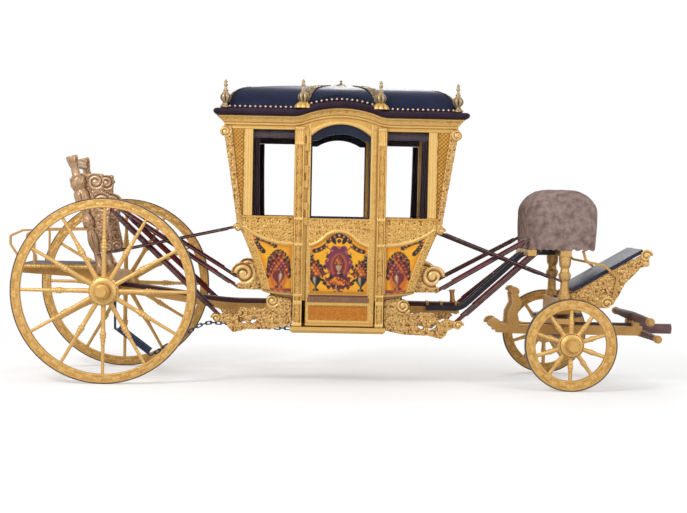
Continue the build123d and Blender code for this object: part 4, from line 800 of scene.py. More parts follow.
def ogee_z(x):
    """The height of the ogee moulding's line over the painted panel."""
    out = np.minimum(np.abs(x), OGEE_HALF)
    turn, level = OGEE_HALF * 0.52, (OGEE_FOOT + OGEE_HEAD) / 2
    crown = through((-turn, level), (0.0, OGEE_HEAD), (turn, level))
    flare = through((turn, level), (OGEE_HALF * 0.76, OGEE_FOOT + (level - OGEE_FOOT) * 0.32),
                    (OGEE_HALF, OGEE_FOOT))
    return np.where(out < turn, over(crown, out, 1), over(flare, out, 1 if flare[1] < level else -1))


def door_foot(shape, side):
    """A door below its light."""
    u, v = np.meshgrid(edged(108), edged(int((LIGHT_FOOT - DOOR_FOOT) / 0.006)))
    x, z = DOOR_REAR + u * (DOOR_FRONT - DOOR_REAR), DOOR_FOOT + v * (LIGHT_FOOT - DOOR_FOOT)
    leafy = sampled(FOLIAGE, x + 0.31, z + 0.11, 0.75)
    small = sampled(FOLIAGE, x * 1.4, z * 1.2, 0.5)
    on_lip = np.maximum.reduce([soft_step(np.abs(x), LIP_IN - 0.001), soft_step(0.618, z)])
    ogee = (z - ogee_z(x)) * 0.93
    depth = np.minimum.reduce([LIP_IN - 0.014 - np.abs(x), z - 0.874, -ogee - 0.017])
    inside, below = soft_step(depth, 0.0), soft_step(0.868, z)
    relief = mixed(mixed(leafy, 0.55, below), 0.62, inside)
    height = mixed(mixed(0.002 + 0.0095 * leafy, 0.002, below), 0.0015, inside)
    rail = soft_step(z, RAIL_FOOT - 0.002) * soft_step(RAIL_HEAD + 0.002, z) * soft_step(0.294, np.abs(x))
    beads = np.abs(np.cos(pi * x / 0.022)) * rounded(z - RAIL_FOOT - 0.014, 0.014)
    step_in = np.minimum.reduce([LIP_IN - 0.006 - np.abs(x), z - 0.624, RAIL_FOOT - 0.006 - z])
    step_panel = soft_step(step_in, 0.0)
    step_leaf = sampled(FOLIAGE, np.abs(x) + 0.02, z * 0.9, 1.1)
    # Each region's relief sets its gilt colour: painted shade in the hollows, painted highlight on beads and
    # leaves.
    for mask, shaded_relief, rise in ((step_panel, 0.45 + 0.4 * step_leaf, 0.0015 + 0.0015 * step_leaf),
                                (on_lip, 0.25 + 0.65 * small, LIP_PROUD + 0.0012 * small),
                                (rail, 0.40 + 0.5 * beads, 0.0148 + 0.003 * beads)):
        relief, height = np.where(mask > 0.5, shaded_relief, relief), np.where(mask > 0.5, rise, height)
    # Each moulding's crest gets a painted highlight, set by shine.
    for line, half, proud, shine in ((ogee, 0.0155, MOULD_TOP, 0.88), (depth + 0.004, 0.005, 0.006, 0.80),
                                     (step_in + 0.004, 0.005, 0.006, 0.80)):
        mould = rounded(line, half) * (1 - on_lip) * (1 - rail if proud < MOULD_TOP else 1)
        height = np.maximum(height, mould ** 0.5 * proud)
        relief = np.where(mould > 0.1, shine * (0.5 + 0.5 * mould), relief)
    painting = Painting(x, z)
    panel_ground(painting, inside, depth)
    painting.lay(inside * soft_step(0.905, z, 0.02) * 0.55, (0.36, 0.17, 0.03))
    for hand in (-1, 1):
        painting.garland((hand * 0.255, 1.285), (hand * 0.120, 1.345), 0.015, 6, RED)
        painting.garland((hand * 0.120, 1.365), (0.0, 1.440), -0.012, 6, RED)
        painting.garland((hand * 0.250, 1.000), (hand * 0.262, 1.250), 0.0, 8, MAROON)
        painting.urn(hand * 0.215, 0.905, 0.270, 0.054, LEAF_DARK, (RED, LEAF_DARK, FRUIT))
        painting.scroll(hand * 0.128, 0.985, 0.050, hand, MAROON, pi / 2)
        painting.scroll(hand * 0.132, 1.115, 0.050, -hand, MAROON, -pi / 2)
        painting.scroll(hand * 0.108, 1.275, 0.044, hand, PURPLE, pi / 2)
        for turn in range(5):
            painting.leaf(hand * 0.125, 1.00 + turn * 0.055, pi / 2 - hand * (1.2 - turn * 0.5), 0.055, 0.014,
                          (LEAF_DARK, MAROON)[turn % 2])
        painting.leaf(hand * 0.03, 1.35, pi / 2 - hand * 0.5, 0.08, 0.020, LEAF_DARK)
    lobes = 1 + 0.10 * np.cos(6 * np.arctan2(z - 1.165, x * 1.5))
    painting.lay(held(12 * (1 - np.hypot(x / 0.122, (z - 1.165) / 0.186) / lobes)) * inside, PURPLE)
    for step in range(18):
        angle = step * pi / 9
        painting.leaf(0.098 * cos(angle), 1.165 + 0.150 * sin(angle), angle + 1.2, 0.040, 0.011,
                      (RED, MAROON)[step % 2])
    for wide, tall, colour in ((0.086, 0.128, RED), (0.068, 0.108, MAROON)):
        painting.lay(held(4 - np.hypot(x / wide, (z - 1.150) / tall) * 4) * inside, colour)
    painting.urn(0.0, 1.070, 0.165, 0.030, (0.40, 0.27, 0.16), (RED, PURPLE, FRUIT))
    painting.urn(0.0, 0.900, 0.130, 0.080, MAROON, (FRUIT, MAROON, RED))
    painting.blossom(0.0, 1.385, 0.022, LEAF_DARK, PURPLE, 4)
    painting.colour[..., 3] *= inside
    painting.lay(below * soft_step(z, RAIL_HEAD) * (1 - on_lip) * 0.9, (0.12, 0.022, 0.035))
    painting.lay(rail * (1 - beads) * soft_step(z, RAIL_FOOT + 0.030) * 0.75, (0.22, 0.115, 0.120))
    painting.lay(step_panel * 0.95, (0.46, 0.15, 0.014))
    painting.lay(step_panel * held(step_leaf * 2 - 0.9) * 0.5, STEP_PANEL)
    skin(shape, x, z, side, height, relief, painting.colour)


def door_frame(shape, side):
    """A door's stiles beside its light, and its arched head."""
    for low, high in ((DOOR_REAR, -LIGHT_HALF), (LIGHT_HALF, DOOR_FRONT)):
        u, v = np.meshgrid(edged(8), edged(150))
        x = low + u * (high - low)
        z = LIGHT_FOOT + v * (over(LIP_ARCH, x, 1) - LIGHT_FOOT)
        fillet = rounded(np.abs(np.abs(x) - LIGHT_HALF) - 0.008, 0.008)
        small = sampled(FOLIAGE, x * 1.4, z * 1.2, 0.5)
        # The fillet round the light carries a painted highlight.
        skin(shape, x, z, side, LIP_PROUD + 0.0012 * small + fillet * 0.001,
             0.28 + 0.62 * np.maximum(small, fillet))
    u, v = np.meshgrid(edged(100), edged(14))
    x = -LIGHT_HALF + u * 2 * LIGHT_HALF
    low = over(LIGHT_ARCH, x, 1)
    z = low + v * (over(LIP_ARCH, x, 1) - low)
    bead = rounded(v - 0.3, 0.22)
    small = sampled(FOLIAGE, x, z * 1.2, 0.5)
    # The bead's crest carries a painted highlight.
    skin(shape, x, z, side, LIP_PROUD + 0.003 * bead, 0.35 + 0.30 * small + 0.35 * bead)


for side, hand in ((-1, "right"), (1, "left")):
    door = Shape()
    door_foot(door, side)
    door_frame(door, side)
    door.piece(f"door_carving_{hand}", gilt, body=f"door_{hand}_leaf")
dress(gilt, "door_right", "door_left")

# Pilasters on the door pillars: two fillets beside a carved candelabrum, a fluted bracket for a capital and
# a break at the sill; under them the tread, moulded and beaded.
PILASTER_NEAR, PILASTER_PROUD, PILASTER_FOOT = {-1: 0.346, 1: 0.354}, 0.0342, 0.562


def pilaster(shape, side, end):
    near = PILASTER_NEAR[end]
    u, v = np.meshgrid(edged(18), edged(250))
    out = near + u * (PILASTER_OUT - 0.001 - near)
    z = PILASTER_FOOT + v * (BODY_TOP_Z - 0.004 - PILASTER_FOOT)
    off = np.abs(u - 0.5) * 2
    fillet = rounded(off - 0.86, 0.15)
    groove = rounded(off - 0.66, 0.10)
    capital = soft_step(z, 2.300, 0.01)
    flutes = np.abs(np.cos(u * 4 * pi)) ** 0.6
    stem = (z - 0.6) % 0.12 / 0.12
    vase = held(1 - (off / np.maximum(0.16 + 0.46 * np.sin(pi * stem) ** 2, 0.05)) ** 2)
    veins = 0.7 + 0.3 * np.cos(2 * pi * (5 * stem + 1.5 * off))
    leafy = np.maximum(vase * veins * 0.85, 0.80 * sampled(FOLIAGE, out, z, 0.60))
    centre = leafy * (1 - capital) + flutes * capital
    # The fillets carry a painted highlight, and the grooves painted shade.
    relief = np.maximum(np.where(off < 0.62, 0.02 + 0.86 * centre, 0.40), fillet * 0.85)
    relief = relief * (1 - 0.85 * groove)
    height = PILASTER_PROUD + 0.006 * np.maximum(centre * (off < 0.62), fillet) - 0.001 * groove
    for level, half, proud in ((2.300, 0.012, 0.012), (2.445, 0.016, 0.014), (1.588, 0.014, 0.010),
                               (1.345, 0.012, 0.009), (0.862, 0.012, 0.010), (0.790, 0.022, 0.008),
                               (0.580, 0.018, 0.010)):
        bar = rounded(z - level, half)
        height = np.maximum(height, PILASTER_PROUD + bar * proud)
        # Each bar's crest carries a painted highlight.
        relief = np.where(bar > 0.2, 0.9 * (0.4 + 0.6 * bar), relief)
    skin(shape, end * out, z, side, height, relief, foot=PILASTER_PROUD - 0.001)


pilasters = Shape()
for side in (-1, 1):
    for end in (-1, 1):
        pilaster(pilasters, side, end)
pilasters.piece("pilaster_carving", gilt)
dress(gilt, "door_surrounds")

# Cornice: a gilt cove carved with leaves between two fillets, under a roll covered in dark leather. Both
# lift over the doors, and a row of gilt studs holds the roof's leather down behind the roll.
ARCH_HALF, ARCH_RISE, ARCH_EASE = 0.400, 0.085, 0.060
ARCH = through((-ARCH_HALF, 0.0), (0.0, ARCH_RISE), (ARCH_HALF, 0.0))
FASCIA = ((0.000, 2.4684), (0.014, 2.469), (0.018, 2.477), (0.013, 2.487), (0.015, 2.494), (0.028, 2.496),
          (0.035, 2.506), (0.045, 2.521), (0.058, 2.536), (0.066, 2.541), (0.069, 2.549), (0.067, 2.5555),
          (0.000, 2.556))
CROWN = ((0.000, 2.5563), (0.070, 2.557), (0.094, 2.562), (0.106, 2.573), (0.112, 2.589), (0.109, 2.604),
         (0.097, 2.615), (0.078, 2.621), (0.050, 2.6222), (0.000, 2.6225))
STUD_STEP, STUD_R, STUD_PROUD, STUD_OUT, STUD_Z = 0.048, 0.0125, 0.012, 0.046, 2.640
RUNS = ((BODY_TOP_HALF, HALF_WIDTH, True), (HALF_WIDTH, BODY_TOP_HALF, False))


def arch_lift(x):
    """How far the cornice is raised over a door, eased at the foot of the arch."""
    out = np.abs(x)
    near, far = ARCH_HALF - ARCH_EASE, ARCH_HALF + ARCH_EASE
    eased = over(ARCH, near, 1) * held((far - out) / (far - near)) ** 2
    return np.where(out < near, over(ARCH, np.minimum(out, near), 1), eased)


def gone(line):
    """How far along a line each of its places is."""
    return np.concatenate([[0], np.cumsum(np.hypot(*np.diff(line, axis=0).T))])


def course(shape, section, step, depth, ornament):
    """A moulding round the body's top, mitred at its corners. Its section is (overhang, height) from foot to
    head, and ornament gives the carving's height at a run along it and a share of the section."""
    section = np.array(section)
    lengths = gone(section)
    share = np.unique(np.concatenate([lengths, np.arange(0, lengths[-1], 0.007)])) / lengths[-1]
    out, level = (np.interp(share, lengths / lengths[-1], column) for column in section.T)
    for along, across, lifted in RUNS:
        u = np.linspace(-1, 1, int(2 * along / step))
        for hand in (-1, 1):
            run = u[None, :] * (along + out)[:, None]
            relief = ornament(run, share[:, None])
            reach = np.maximum(out[:, None] - depth * (1 - relief), 0)
            first, second = u[None, :] * (along + reach), hand * (across + reach)
            z = level[:, None] + (arch_lift(run) if lifted else 0 * run)
            x, y = (first, second) if lifted else (second, first)
            shape.grid(np.stack([BODY_X + x, y, z], axis=-1), relief, flip=(hand > 0) == lifted)


def leaf_cove(run, share):
    """Leaves in the cove, thicker at the corners and over the doors, and a painted shadow in the quirk."""
    thick = 0.55 + 0.45 * held(np.cos(np.abs(run) * 5.5))
    leaves = sampled(FOLIAGE, run * 0.9 + 0.1, share * 0.20, 0.85)
    cove = held(1 - np.abs(share - 0.47) / 0.17) ** 0.3
    # A painted shadow in the quirk under the second fillet, which is also cut in a little.
    dark = held(1 - np.abs(share - 0.205) / 0.030) * 0.75
    beads = np.abs(np.cos(pi * run / 0.020)) * held(1 - np.abs(share - 0.72) / 0.05)
    return held(0.84 - 0.85 * cove * thick * (0.85 - leaves) + 0.16 * beads - dark)


cornice_dark = plain("cornice_dark", (0.034, 0.016, 0.034), (0.010, 0.005, 0.012), 8.0, 0.50, shine=0.15)
fascia, crown = Shape(), Shape()
course(fascia, FASCIA, 0.0105, 0.006, leaf_cove)
fascia.piece("cornice_fascia_carved", gilt, replaces=["cornice_fascia"])
course(crown, CROWN, 0.020, 0.004, lambda run, share: 0.7 + 0.3 * np.cos(2 * pi * run / 0.12) * (share < 0.6))
crown.piece("cornice_crown_roll", cornice_dark, "cornice_dark", ["cornice_crown"])

stud_gilt = gilding("stud_gilt", (0.95, 0.62, 0.42), (0.66, 0.36, 0.20), metal=0.6)
STUD = ((-0.5, STUD_R), (0.0, STUD_R), (0.6, STUD_R * 0.8), (1.0, STUD_R * 0.3))
studs = Shape()
for along, across, lifted in RUNS:
    count = int(2 * (along + STUD_OUT) / STUD_STEP)
    for hand in (-1, 1):
        for number in range(count):
            run = (number - (count - 1) / 2) * STUD_STEP
            z = STUD_Z + (float(arch_lift(run)) if lifted else 0.0)
            out = hand * (across + STUD_OUT)
            ends = [(BODY_X + run, y, z) if lifted else (BODY_X + y, run, z)
                    for y in (out, out + hand * STUD_PROUD)]
            revolved(studs, *ends, STUD, around=6)
studs.piece("roof_studs", stud_gilt, "gilt_aged")

# Roof: blue-black leather strained over boards, with carved ribs along its hips and up to the low spire.
# The leather's solid only takes its finish, and the ribs are carved from theirs.
roof_leather = plain("roof_leather", (0.015, 0.021, 0.056), (0.005, 0.007, 0.020), 3.0, 0.40, shine=0.12)
dress(roof_leather, "roof")
carved("roof_ribs", aged_gilt, 0.012, voxel=0.0105, scale=1.0)

# Finials: cast and chased, a leafy vase under a bud at each corner and over each door pillar; those over the
# pillars stand in a mound of gilt leaves. A knob tops the spire.
FINIAL = (
    (0, 0.030), (0.05, 0.034), (0.09, 0.020), (0.15, 0.016), (0.20, 0.028), (0.27, 0.046), (0.35, 0.054),
    (0.43, 0.050), (0.51, 0.034), (0.57, 0.020), (0.61, 0.027), (0.65, 0.016), (0.74, 0.012), (0.81, 0.021),
    (0.86, 0.011), (0.92, 0.018), (0.97, 0.008), (1, 0.002))
FINIAL_HIGH, FINIAL_Z, FINIAL_Y = 0.268, 2.6226, 0.764
SPIRE_FOOT, SPIRE_HEAD, KNOB_TOP, SPIRE_HALF = 2.886, 2.942, 2.968, 0.127


def leafy_vase(share, turn):
    """Six leaves round the vase, cut deep between them."""
    on = held(np.sin(pi * held((share - 0.12) / 0.44)))
    return 1 - on * (1 - np.abs(np.cos(turn * 3)) ** 0.8), 0.018


def leafy_mound(share, turn):
    leaves = np.abs(np.cos(turn * 4 + pi * (share > 0.5) / 2)) ** 0.7
    return 0.25 + 0.75 * leaves * held(1.2 - share), 0.026


def spindle(shape, foot, head_z, profile, *carving, **options):
    """Adds upright turned work from a foot to a height."""
    revolved(shape, foot, (foot[0], foot[1], head_z), profile, *carving, **options)


finials, mounds = Shape(), Shape()
MOUND = ((0, 0.085), (0.2, 0.082), (0.5, 0.066), (0.8, 0.040), (1, 0.020))
for x in (-BODY_TOP_HALF, -0.366, 0.366, BODY_TOP_HALF):
    for side in (-1, 1):
        foot = (BODY_X + x, side * FINIAL_Y, FINIAL_Z + float(arch_lift(x)))
        spindle(finials, foot, foot[2] + FINIAL_HIGH, FINIAL, 24, leafy_vase, sub=2)
        if abs(x) < 1:
            at = (foot[0], side * (FINIAL_Y - 0.012), foot[2] - 0.004)
            spindle(mounds, at, at[2] + 0.085, MOUND, 32, leafy_mound, sub=3)
SPIRE = ((0, SPIRE_HALF), (0.2, 0.120), (0.45, 0.085), (0.75, 0.042), (1, 0.014))
spindle(finials, (BODY_X, 0, SPIRE_FOOT), SPIRE_HEAD, SPIRE, 48, leafy_mound, sub=3)
KNOB = ((0, 0.009), (0.4, 0.007), (0.55, 0.014), (0.8, 0.014), (1, 0.004))
spindle(finials, (BODY_X, 0, SPIRE_HEAD - 0.006), KNOB_TOP, KNOB, 16, sub=2)
finials.piece("roof_finials_chased", aged_gilt, "gilt_aged", ["roof_finials"])
mounds.piece("finial_leaves", gilt)

# Consoles, shells and brackets: limewood scrolls carved all over with leaves and gilt, down the corners of
# the body and out from its foot to the straps.
bracket_gilt = gilding("bracket_gilt", (0.70, 0.46, 0.19), (0.46, 0.25, 0.070), (0.18, 0.075, 0.028))
CONSOLE_EYES = [(BODY_X + end * x, z, r) for end in (-1, 1) for x, z, r in ((1.097, 2.402, 0.058),
                                                                         (0.966, 1.494, 0.046))]
for node, depth, eyes in (("body_brackets", 0.014, ((-1.250, 0.624, 0.054), (1.070, 0.592, 0.054),
                                                    (-0.718, 0.800, 0.070), (0.538, 0.768, 0.070))),
                          ("corner_shells", 0.016, ((-0.995, 1.055, 0.112), (0.815, 1.055, 0.112))),
                          ("corner_consoles", 0.010, CONSOLE_EYES)):
    carved(node, bracket_gilt, depth, eyes)

# Lights: panes in dark sashes, faintly tinted and thin. The sashes are painted a blue-black like the
# roof, and the glass is clear enough to show the cushions.
sash_dark = plain("sash_dark", (0.012, 0.017, 0.040), (0.004, 0.006, 0.014), 5.0, rough=0.32, shine=0.25)
window_glass = Finish("window_glass").surface(Base_Color=(0.97, 0.99, 0.99, 1.0), Roughness=0.03, IOR=1.02,
                                              Alpha=0.10, Transmission_Weight=1.0)
dress(sash_dark, "door_sash_right", "door_sash_left", "front_sash")
dress(window_glass, "door_glass_right", "door_glass_left", "front_glass", "quarter_glass")

# Floor and benches: bare boards inside the body, their grain along it. The benches are boxes under the
# cushions, and the step wells are let down through the floor.
bare_wood = plain("bare_wood", (0.20, 0.105, 0.045), (0.085, 0.040, 0.018), 4.0, 0.6, stretch=(0.4, 4, 4))
dress(bare_wood, "body_floor", "benches")

# Cushions: horsehair in worn red velvet, plump between their piped edges. Each is blown up as cloth from a
# slightly smaller form of its own solid, then buttoned.
velvet = plain("velvet", (0.30, 0.035, 0.035), (0.13, 0.012, 0.016), 8.0, rough=0.85)
PUFF_VOXEL, PUFF_SHRINK, PUFF_CAP = 0.026, 0.014, 0.015


def plumped(node, buttons):
    """A soft solid remeshed, inflated as cloth, capped and pulled in at its buttons."""
    made, rest, normals = remeshed(node, node + "_velvet", PUFF_VOXEL)
    mesh, start = made.data, rest - normals * PUFF_SHRINK
    mesh.vertices.foreach_set("co", start.reshape(-1))
    cloth = made.modifiers.new("cloth", "CLOTH")
    cloth.settings.use_pressure, cloth.settings.uniform_pressure_force = True, 4.0
    cloth.settings.effector_weights.gravity = 0.0
    for number in range(1, 15):
        bpy.context.scene.frame_set(number)
    blown, swollen = evaluated(made), np.empty(rest.size)
    blown.vertices.foreach_get("co", swollen)
    made.modifiers.clear()
    bpy.context.scene.frame_set(1)
    bpy.data.meshes.remove(blown)
    move = swollen.reshape(-1, 3) - start
    far = np.linalg.norm(move, axis=1, keepdims=True)
    start = start + move * np.minimum(1, PUFF_CAP / np.maximum(far, 1e-9))
    for button in buttons:
        away = np.linalg.norm(start - np.array(button), axis=1)
        start = start - normals * (0.022 * np.exp(-(away / 0.055) ** 2))[:, None]
    mesh.vertices.foreach_set("co", start.reshape(-1))
    soften = made.modifiers.new("soften", "SUBSURF")
    soften.levels = soften.render_levels = 1
    finished(made, "carriage", velvet, [node])


plumped("seat_cushions", [(BODY_X + end * 0.56, y, 1.205) for end in (-1, 1)
                               for y in np.linspace(-0.45, 0.45, 5)])
plumped("back_cushions", [(BODY_X + end * (0.72 + 0.30 * (z - 1.25)), y, z) for end in (-1, 1)
                               for z in (1.30, 1.43) for y in np.linspace(-0.50, 0.50, 6)])

# Curtains: worn grey-brown silk, gathered on a rod in front of each quarter light's outer edge, with a
# rolled blind across the light's head.
silk = plain("silk", (0.070, 0.048, 0.060), (0.022, 0.015, 0.024), 7.0, rough=0.7, stretch=(6, 6, 0.6))
CURTAIN_IN, CURTAIN_HEAD, CURTAIN_FOOT, FOLDS = 0.640, 2.348, 1.600, 4
BLIND_Z, BLIND_R = 2.392, 0.011
blinds = Shape()
for end, place in ((-1, "rear"), (1, "front")):
    for side, hand in ((-1, "right"), (1, "left")):
        u, v = np.meshgrid(np.linspace(0, 1, 48), np.linspace(0, 1, 30))
        z = CURTAIN_HEAD + v * (CURTAIN_FOOT - CURTAIN_HEAD)
        out = WINDOW_FAR - 0.004 - (1 - u) * (0.060 + 0.012 * v ** 2)
        y = side * (CURTAIN_IN + (0.009 + 0.004 * v) * np.sin(2 * pi * FOLDS * u + 0.5 * np.sin(3 * v)))
        curtain = Shape()
        curtain.grid(np.stack([BODY_X + end * out, y, z], axis=-1), 0.6)
        made = curtain.piece(f"curtain_{place}_{hand}", silk, "curtain", ["curtains"])
        cloth = [v.co for v in made.data.vertices]
        width = sum((b - a).length for a, b in zip(cloth[:47], cloth[1:48]))
        width * 1.06
        u, v = np.meshgrid(np.linspace(0, 1, 40), np.linspace(0, 2 * pi, 24))
        out = WINDOW_NEAR - 0.006 + u * (WINDOW_FAR - WINDOW_NEAR + 0.012)
        z = BLIND_Z + 0.042 * np.sin(v) + 0.003 * np.sin(out * 60) * np.cos(v)
        blinds.grid(np.stack([BODY_X + end * out, side * (0.646 + BLIND_R * np.cos(v)), z], axis=-1), 0.6)
blinds.piece("rolled_blinds", silk, "curtain")

# Upright gear: standards turned as stacked balusters with gadroons and leaf wraps, before and behind; the
# rear ones have three moulded rails between them. Scrolls carved with leaves stand against them.
REAR_STANDARD = (
    (0, 0.058), (0.03, 0.060), (0.06, 0.062), (0.08, 0.046), (0.10, 0.040), (0.14, 0.036), (0.18, 0.034),
    (0.22, 0.048), (0.27, 0.060), (0.31, 0.056), (0.36, 0.044), (0.39, 0.050), (0.42, 0.066), (0.46, 0.062),
    (0.48, 0.048), (0.50, 0.044), (0.54, 0.054), (0.58, 0.060), (0.62, 0.078), (0.68, 0.080), (0.70, 0.068),
    (0.71, 0.064), (0.73, 0.074), (0.76, 0.084), (0.82, 0.082), (0.83, 0.056), (0.84, 0.046), (0.90, 0.040),
    (0.93, 0.050), (0.96, 0.058), (1, 0.060))
FRONT_STANDARD = (
    (0, 0.062), (0.10, 0.062), (0.12, 0.050), (0.16, 0.044), (0.28, 0.040), (0.42, 0.040), (0.46, 0.052),
    (0.50, 0.058), (0.58, 0.062), (0.61, 0.050), (0.64, 0.044), (0.72, 0.040), (0.76, 0.050), (0.80, 0.056),
    (0.90, 0.060), (1, 0.060))
REAR_POST_Y, FRONT_POST_X, FRONT_POST_Y, FRONT_POST_Z = 0.360, 2.125, 0.370, (0.850, 1.269)
RAILS = ((0.93, 0.060), (0.65, 0.110), (0.20, 0.070))
RAIL_HALF, RAIL_DEEP = 0.330, 0.022


def standard_carving(share, turn):
    """Gadroons on the bulbs and slanting leaves on the necks."""
    lobes = np.abs(np.cos(turn * 7)) ** 0.7
    slant = np.abs(np.cos(turn * 4 + share * 60)) ** 0.6
    bulb, neck = (1.0 * (((share > a) & (share < b)) | ((share > c) & (share < d)))
                  for a, b, c, d in ((0.22, 0.35, 0.52, 0.69), (0.09, 0.21, 0.84, 0.94)))
    leaves = sampled(FOLIAGE, turn * 0.4 / (2 * pi), share * 1.1, 1.0)
    return held(0.85 - 0.75 * bulb * (1 - lobes) - 0.65 * neck * (1 - slant)
                - 0.9 * (1 - bulb) * (1 - neck) * (0.8 - leaves)), 0.008


rear_foot, rear_head = np.array((-2.378, 0, 1.021)), np.array((-2.690, 0, 2.150))
lean = rear_head - rear_foot
tilt = atan2(-lean[0], lean[2])
standards, posts = Shape(), Shape()
for side in (-1, 1):
    across = np.array((0, side * REAR_POST_Y, 0))
    revolved(standards, rear_foot + across, rear_head + across, REAR_STANDARD, 32, standard_carving, sub=3)
    revolved(posts, *[(FRONT_POST_X, side * FRONT_POST_Y, z) for z in FRONT_POST_Z],
             [(share, radius + 0.002) for share, radius in FRONT_STANDARD], 42, standard_carving, sub=3,
             caps=False)
for share, high in RAILS:
    middle = rear_foot + lean * share
    runs, turns = np.meshgrid(np.linspace(-RAIL_HALF, RAIL_HALF, 80), full_turn(32), indexing="ij")
    square = np.maximum(np.abs(np.cos(turns)), np.abs(np.sin(turns)))
    face = np.abs(np.cos(turns)) / square > 0.99
    leaves = sampled(FOLIAGE, runs, high * np.sin(turns) / square + 0.1, 0.6)
    off = RAIL_DEEP * np.cos(turns) / square - np.sign(np.cos(turns)) * face * 0.005 * (1 - leaves)
    rise = high / 2 * np.sin(turns) / square
    standards.grid(np.stack([middle[0] + off * cos(tilt) - rise * sin(tilt), runs,
                             middle[2] + off * sin(tilt) + rise * cos(tilt)], axis=-1),
                   0.35 + 0.5 * leaves, wrap_v=True, flip=True)
worn_gilt = gilding("worn_gilt", (0.54, 0.37, 0.235), (0.35, 0.205, 0.105), (0.14, 0.066, 0.036))
standards.piece("rear_standards_turned", worn_gilt, replaces=["rear_standards"])
dress(bracket_gilt, "front_standards")
posts.piece("front_standard_turning", bracket_gilt)
carved("rear_scrolls", worn_gilt, 0.014,
       ((-2.385, 1.705, 0.096), (-2.452, 1.905, 0.080), (-2.330, 1.265, 0.066)))
carved("footboard_cheeks", bracket_gilt, 0.012, ((2.920, 1.290, 0.064), (2.545, 0.815, 0.066)))

# Beams: ash, gilt on their carved faces and darker on top. The footmen's board is planked, with a beaded
# rail round three of its edges.
dark_beam = plain("dark_beam", (0.075, 0.026, 0.028), (0.020, 0.007, 0.011), 6.0, rough=0.5, shine=0.2)
board_top = plain("board_top", (0.135, 0.125, 0.130), (0.045, 0.042, 0.048), 5.0, rough=0.6, shine=0.3,
                  stretch=(0.5, 4, 4))
beam_gilt = gilding("beam_gilt", (0.60, 0.37, 0.135), (0.40, 0.205, 0.055), (0.18, 0.070, 0.022))
dress(beam_gilt, "footmens_board", "draught_bars", "perch", "rear_bolster", "front_bolster", "futchells",
      "seat_irons", "grab_rails")
PLANKS, PLANK_WIDE, PLANK_GAP, PLANK_EDGE = 6, 0.1415, 0.004, 0.002
PLANKS_FROM, BEADING_Z = -0.424, 1.082


def bead_rail(shape, first, last, radius=0.010, bead=0.0135, every=0.045):
    """A round gilt rail with beads along it, between two places."""
    count = max(int(np.linalg.norm(np.subtract(last, first)) / every), 1)
    profile = [((number + share) / count, size) for number in range(count)
               for share, size in ((0.0, radius), (0.30, radius), (0.40, bead), (0.60, bead), (0.70, radius))]
    revolved(shape, first, last, profile + [(1.0, radius)], 10)


planks, trim = Shape(), Shape()
for number in range(PLANKS):
    low, high = (PLANKS_FROM + (number + more) * PLANK_WIDE - more * PLANK_GAP for more in (0, 1))
    across = (low, low + PLANK_EDGE, high - PLANK_EDGE, high)
    x, y = np.meshgrid((-3.184, -3.182, -2.486, -2.484), across, indexing="ij")
    rise = np.array((1.1015, 1.1035, 1.1035, 1.1015))
    planks.grid(np.stack([x, y, np.minimum(rise[None, :], rise[:, None])], axis=-1), 0.5)
planks.piece("footmens_board_planks", board_top, "footboard_leather")
for side in (-1, 1):
    bead_rail(trim, (-3.176, side * 0.427, BEADING_Z), (-2.494, side * 0.427, BEADING_Z))
bead_rail(trim, (-3.187, -0.412, BEADING_Z), (-3.187, 0.412, BEADING_Z))
trim.piece("footmens_board_beading", gilt)

# Perch: the long beam's top is dark over its gilt sides; iron bands clip the swan necks to it.
# The dark top is a thin skin that follows the beam's bend and turns down over its edges.
PERCH_LINE = np.array(((-2.240, 0.872), (-1.750, 0.812), (-1.200, 0.725), (1.125, 0.725)))
perch_top = Shape()
reach = gone(PERCH_LINE)
x, z = (np.interp(np.linspace(0, reach[-1], 160), reach, column) for column in PERCH_LINE.T)
z[8:-8] = np.convolve(z, np.ones(17) / 17, "valid")
across = np.array((-0.0555, -0.0558, -0.048, -0.020, 0.0, 0.020, 0.048, 0.0558, 0.0555))
above = np.array((0.012, 0.052, 0.0570, 0.0574, 0.0575, 0.0574, 0.0570, 0.052, 0.012))
perch_top.grid(np.stack([np.repeat(x[:, None], 9, 1), np.repeat(across[None], 160, 0),
                         z[:, None] + above[None]], axis=-1), 0.5, flip=True)
perch_top.piece("perch_top", dark_beam, "strap_leather")
black_iron = plain("black_iron", (0.030, 0.028, 0.040), (0.012, 0.012, 0.020), 6.0, rough=0.45, metal=0.4)
dress(black_iron, "swan_necks")

# Running gear's iron: tyres shrunk on the wheels, the kingpin and its plates, all forged and worn bright
# in places by the road and by turning.
iron = plain("iron", (0.15, 0.115, 0.10), (0.055, 0.040, 0.036), 7.0, rough=0.5, metal=0.75)
dress(iron, "rear_tyre_right", "rear_tyre_left", "front_tyre_right", "front_tyre_left", "kingpin",
      "wheel_plate")

# Axles: forged iron from wheel to wheel, painted brown. The eight-sided nut outside each nave is gilt as
# the wheel is.
WHEEL_GOLDS = (0.74, 0.47, 0.17), (0.54, 0.30, 0.082), (0.30, 0.13, 0.022)
AXLE_BROWN, NUT_INNER = (0.11, 0.084, 0.074, 1.0), 0.945
axle_gilt = gilding("axle_gilt", *WHEEL_GOLDS)
dress(axle_gilt, "rear_axle", "front_axle")
for axle in ("rear_axle", "front_axle"):
    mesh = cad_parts[axle].data
    give(mesh, "cover", [abs(vertex.co.y) < NUT_INNER for vertex in mesh.vertices])
    give(mesh, "paint", [AXLE_BROWN] * len(mesh.vertices), "FLOAT_COLOR")

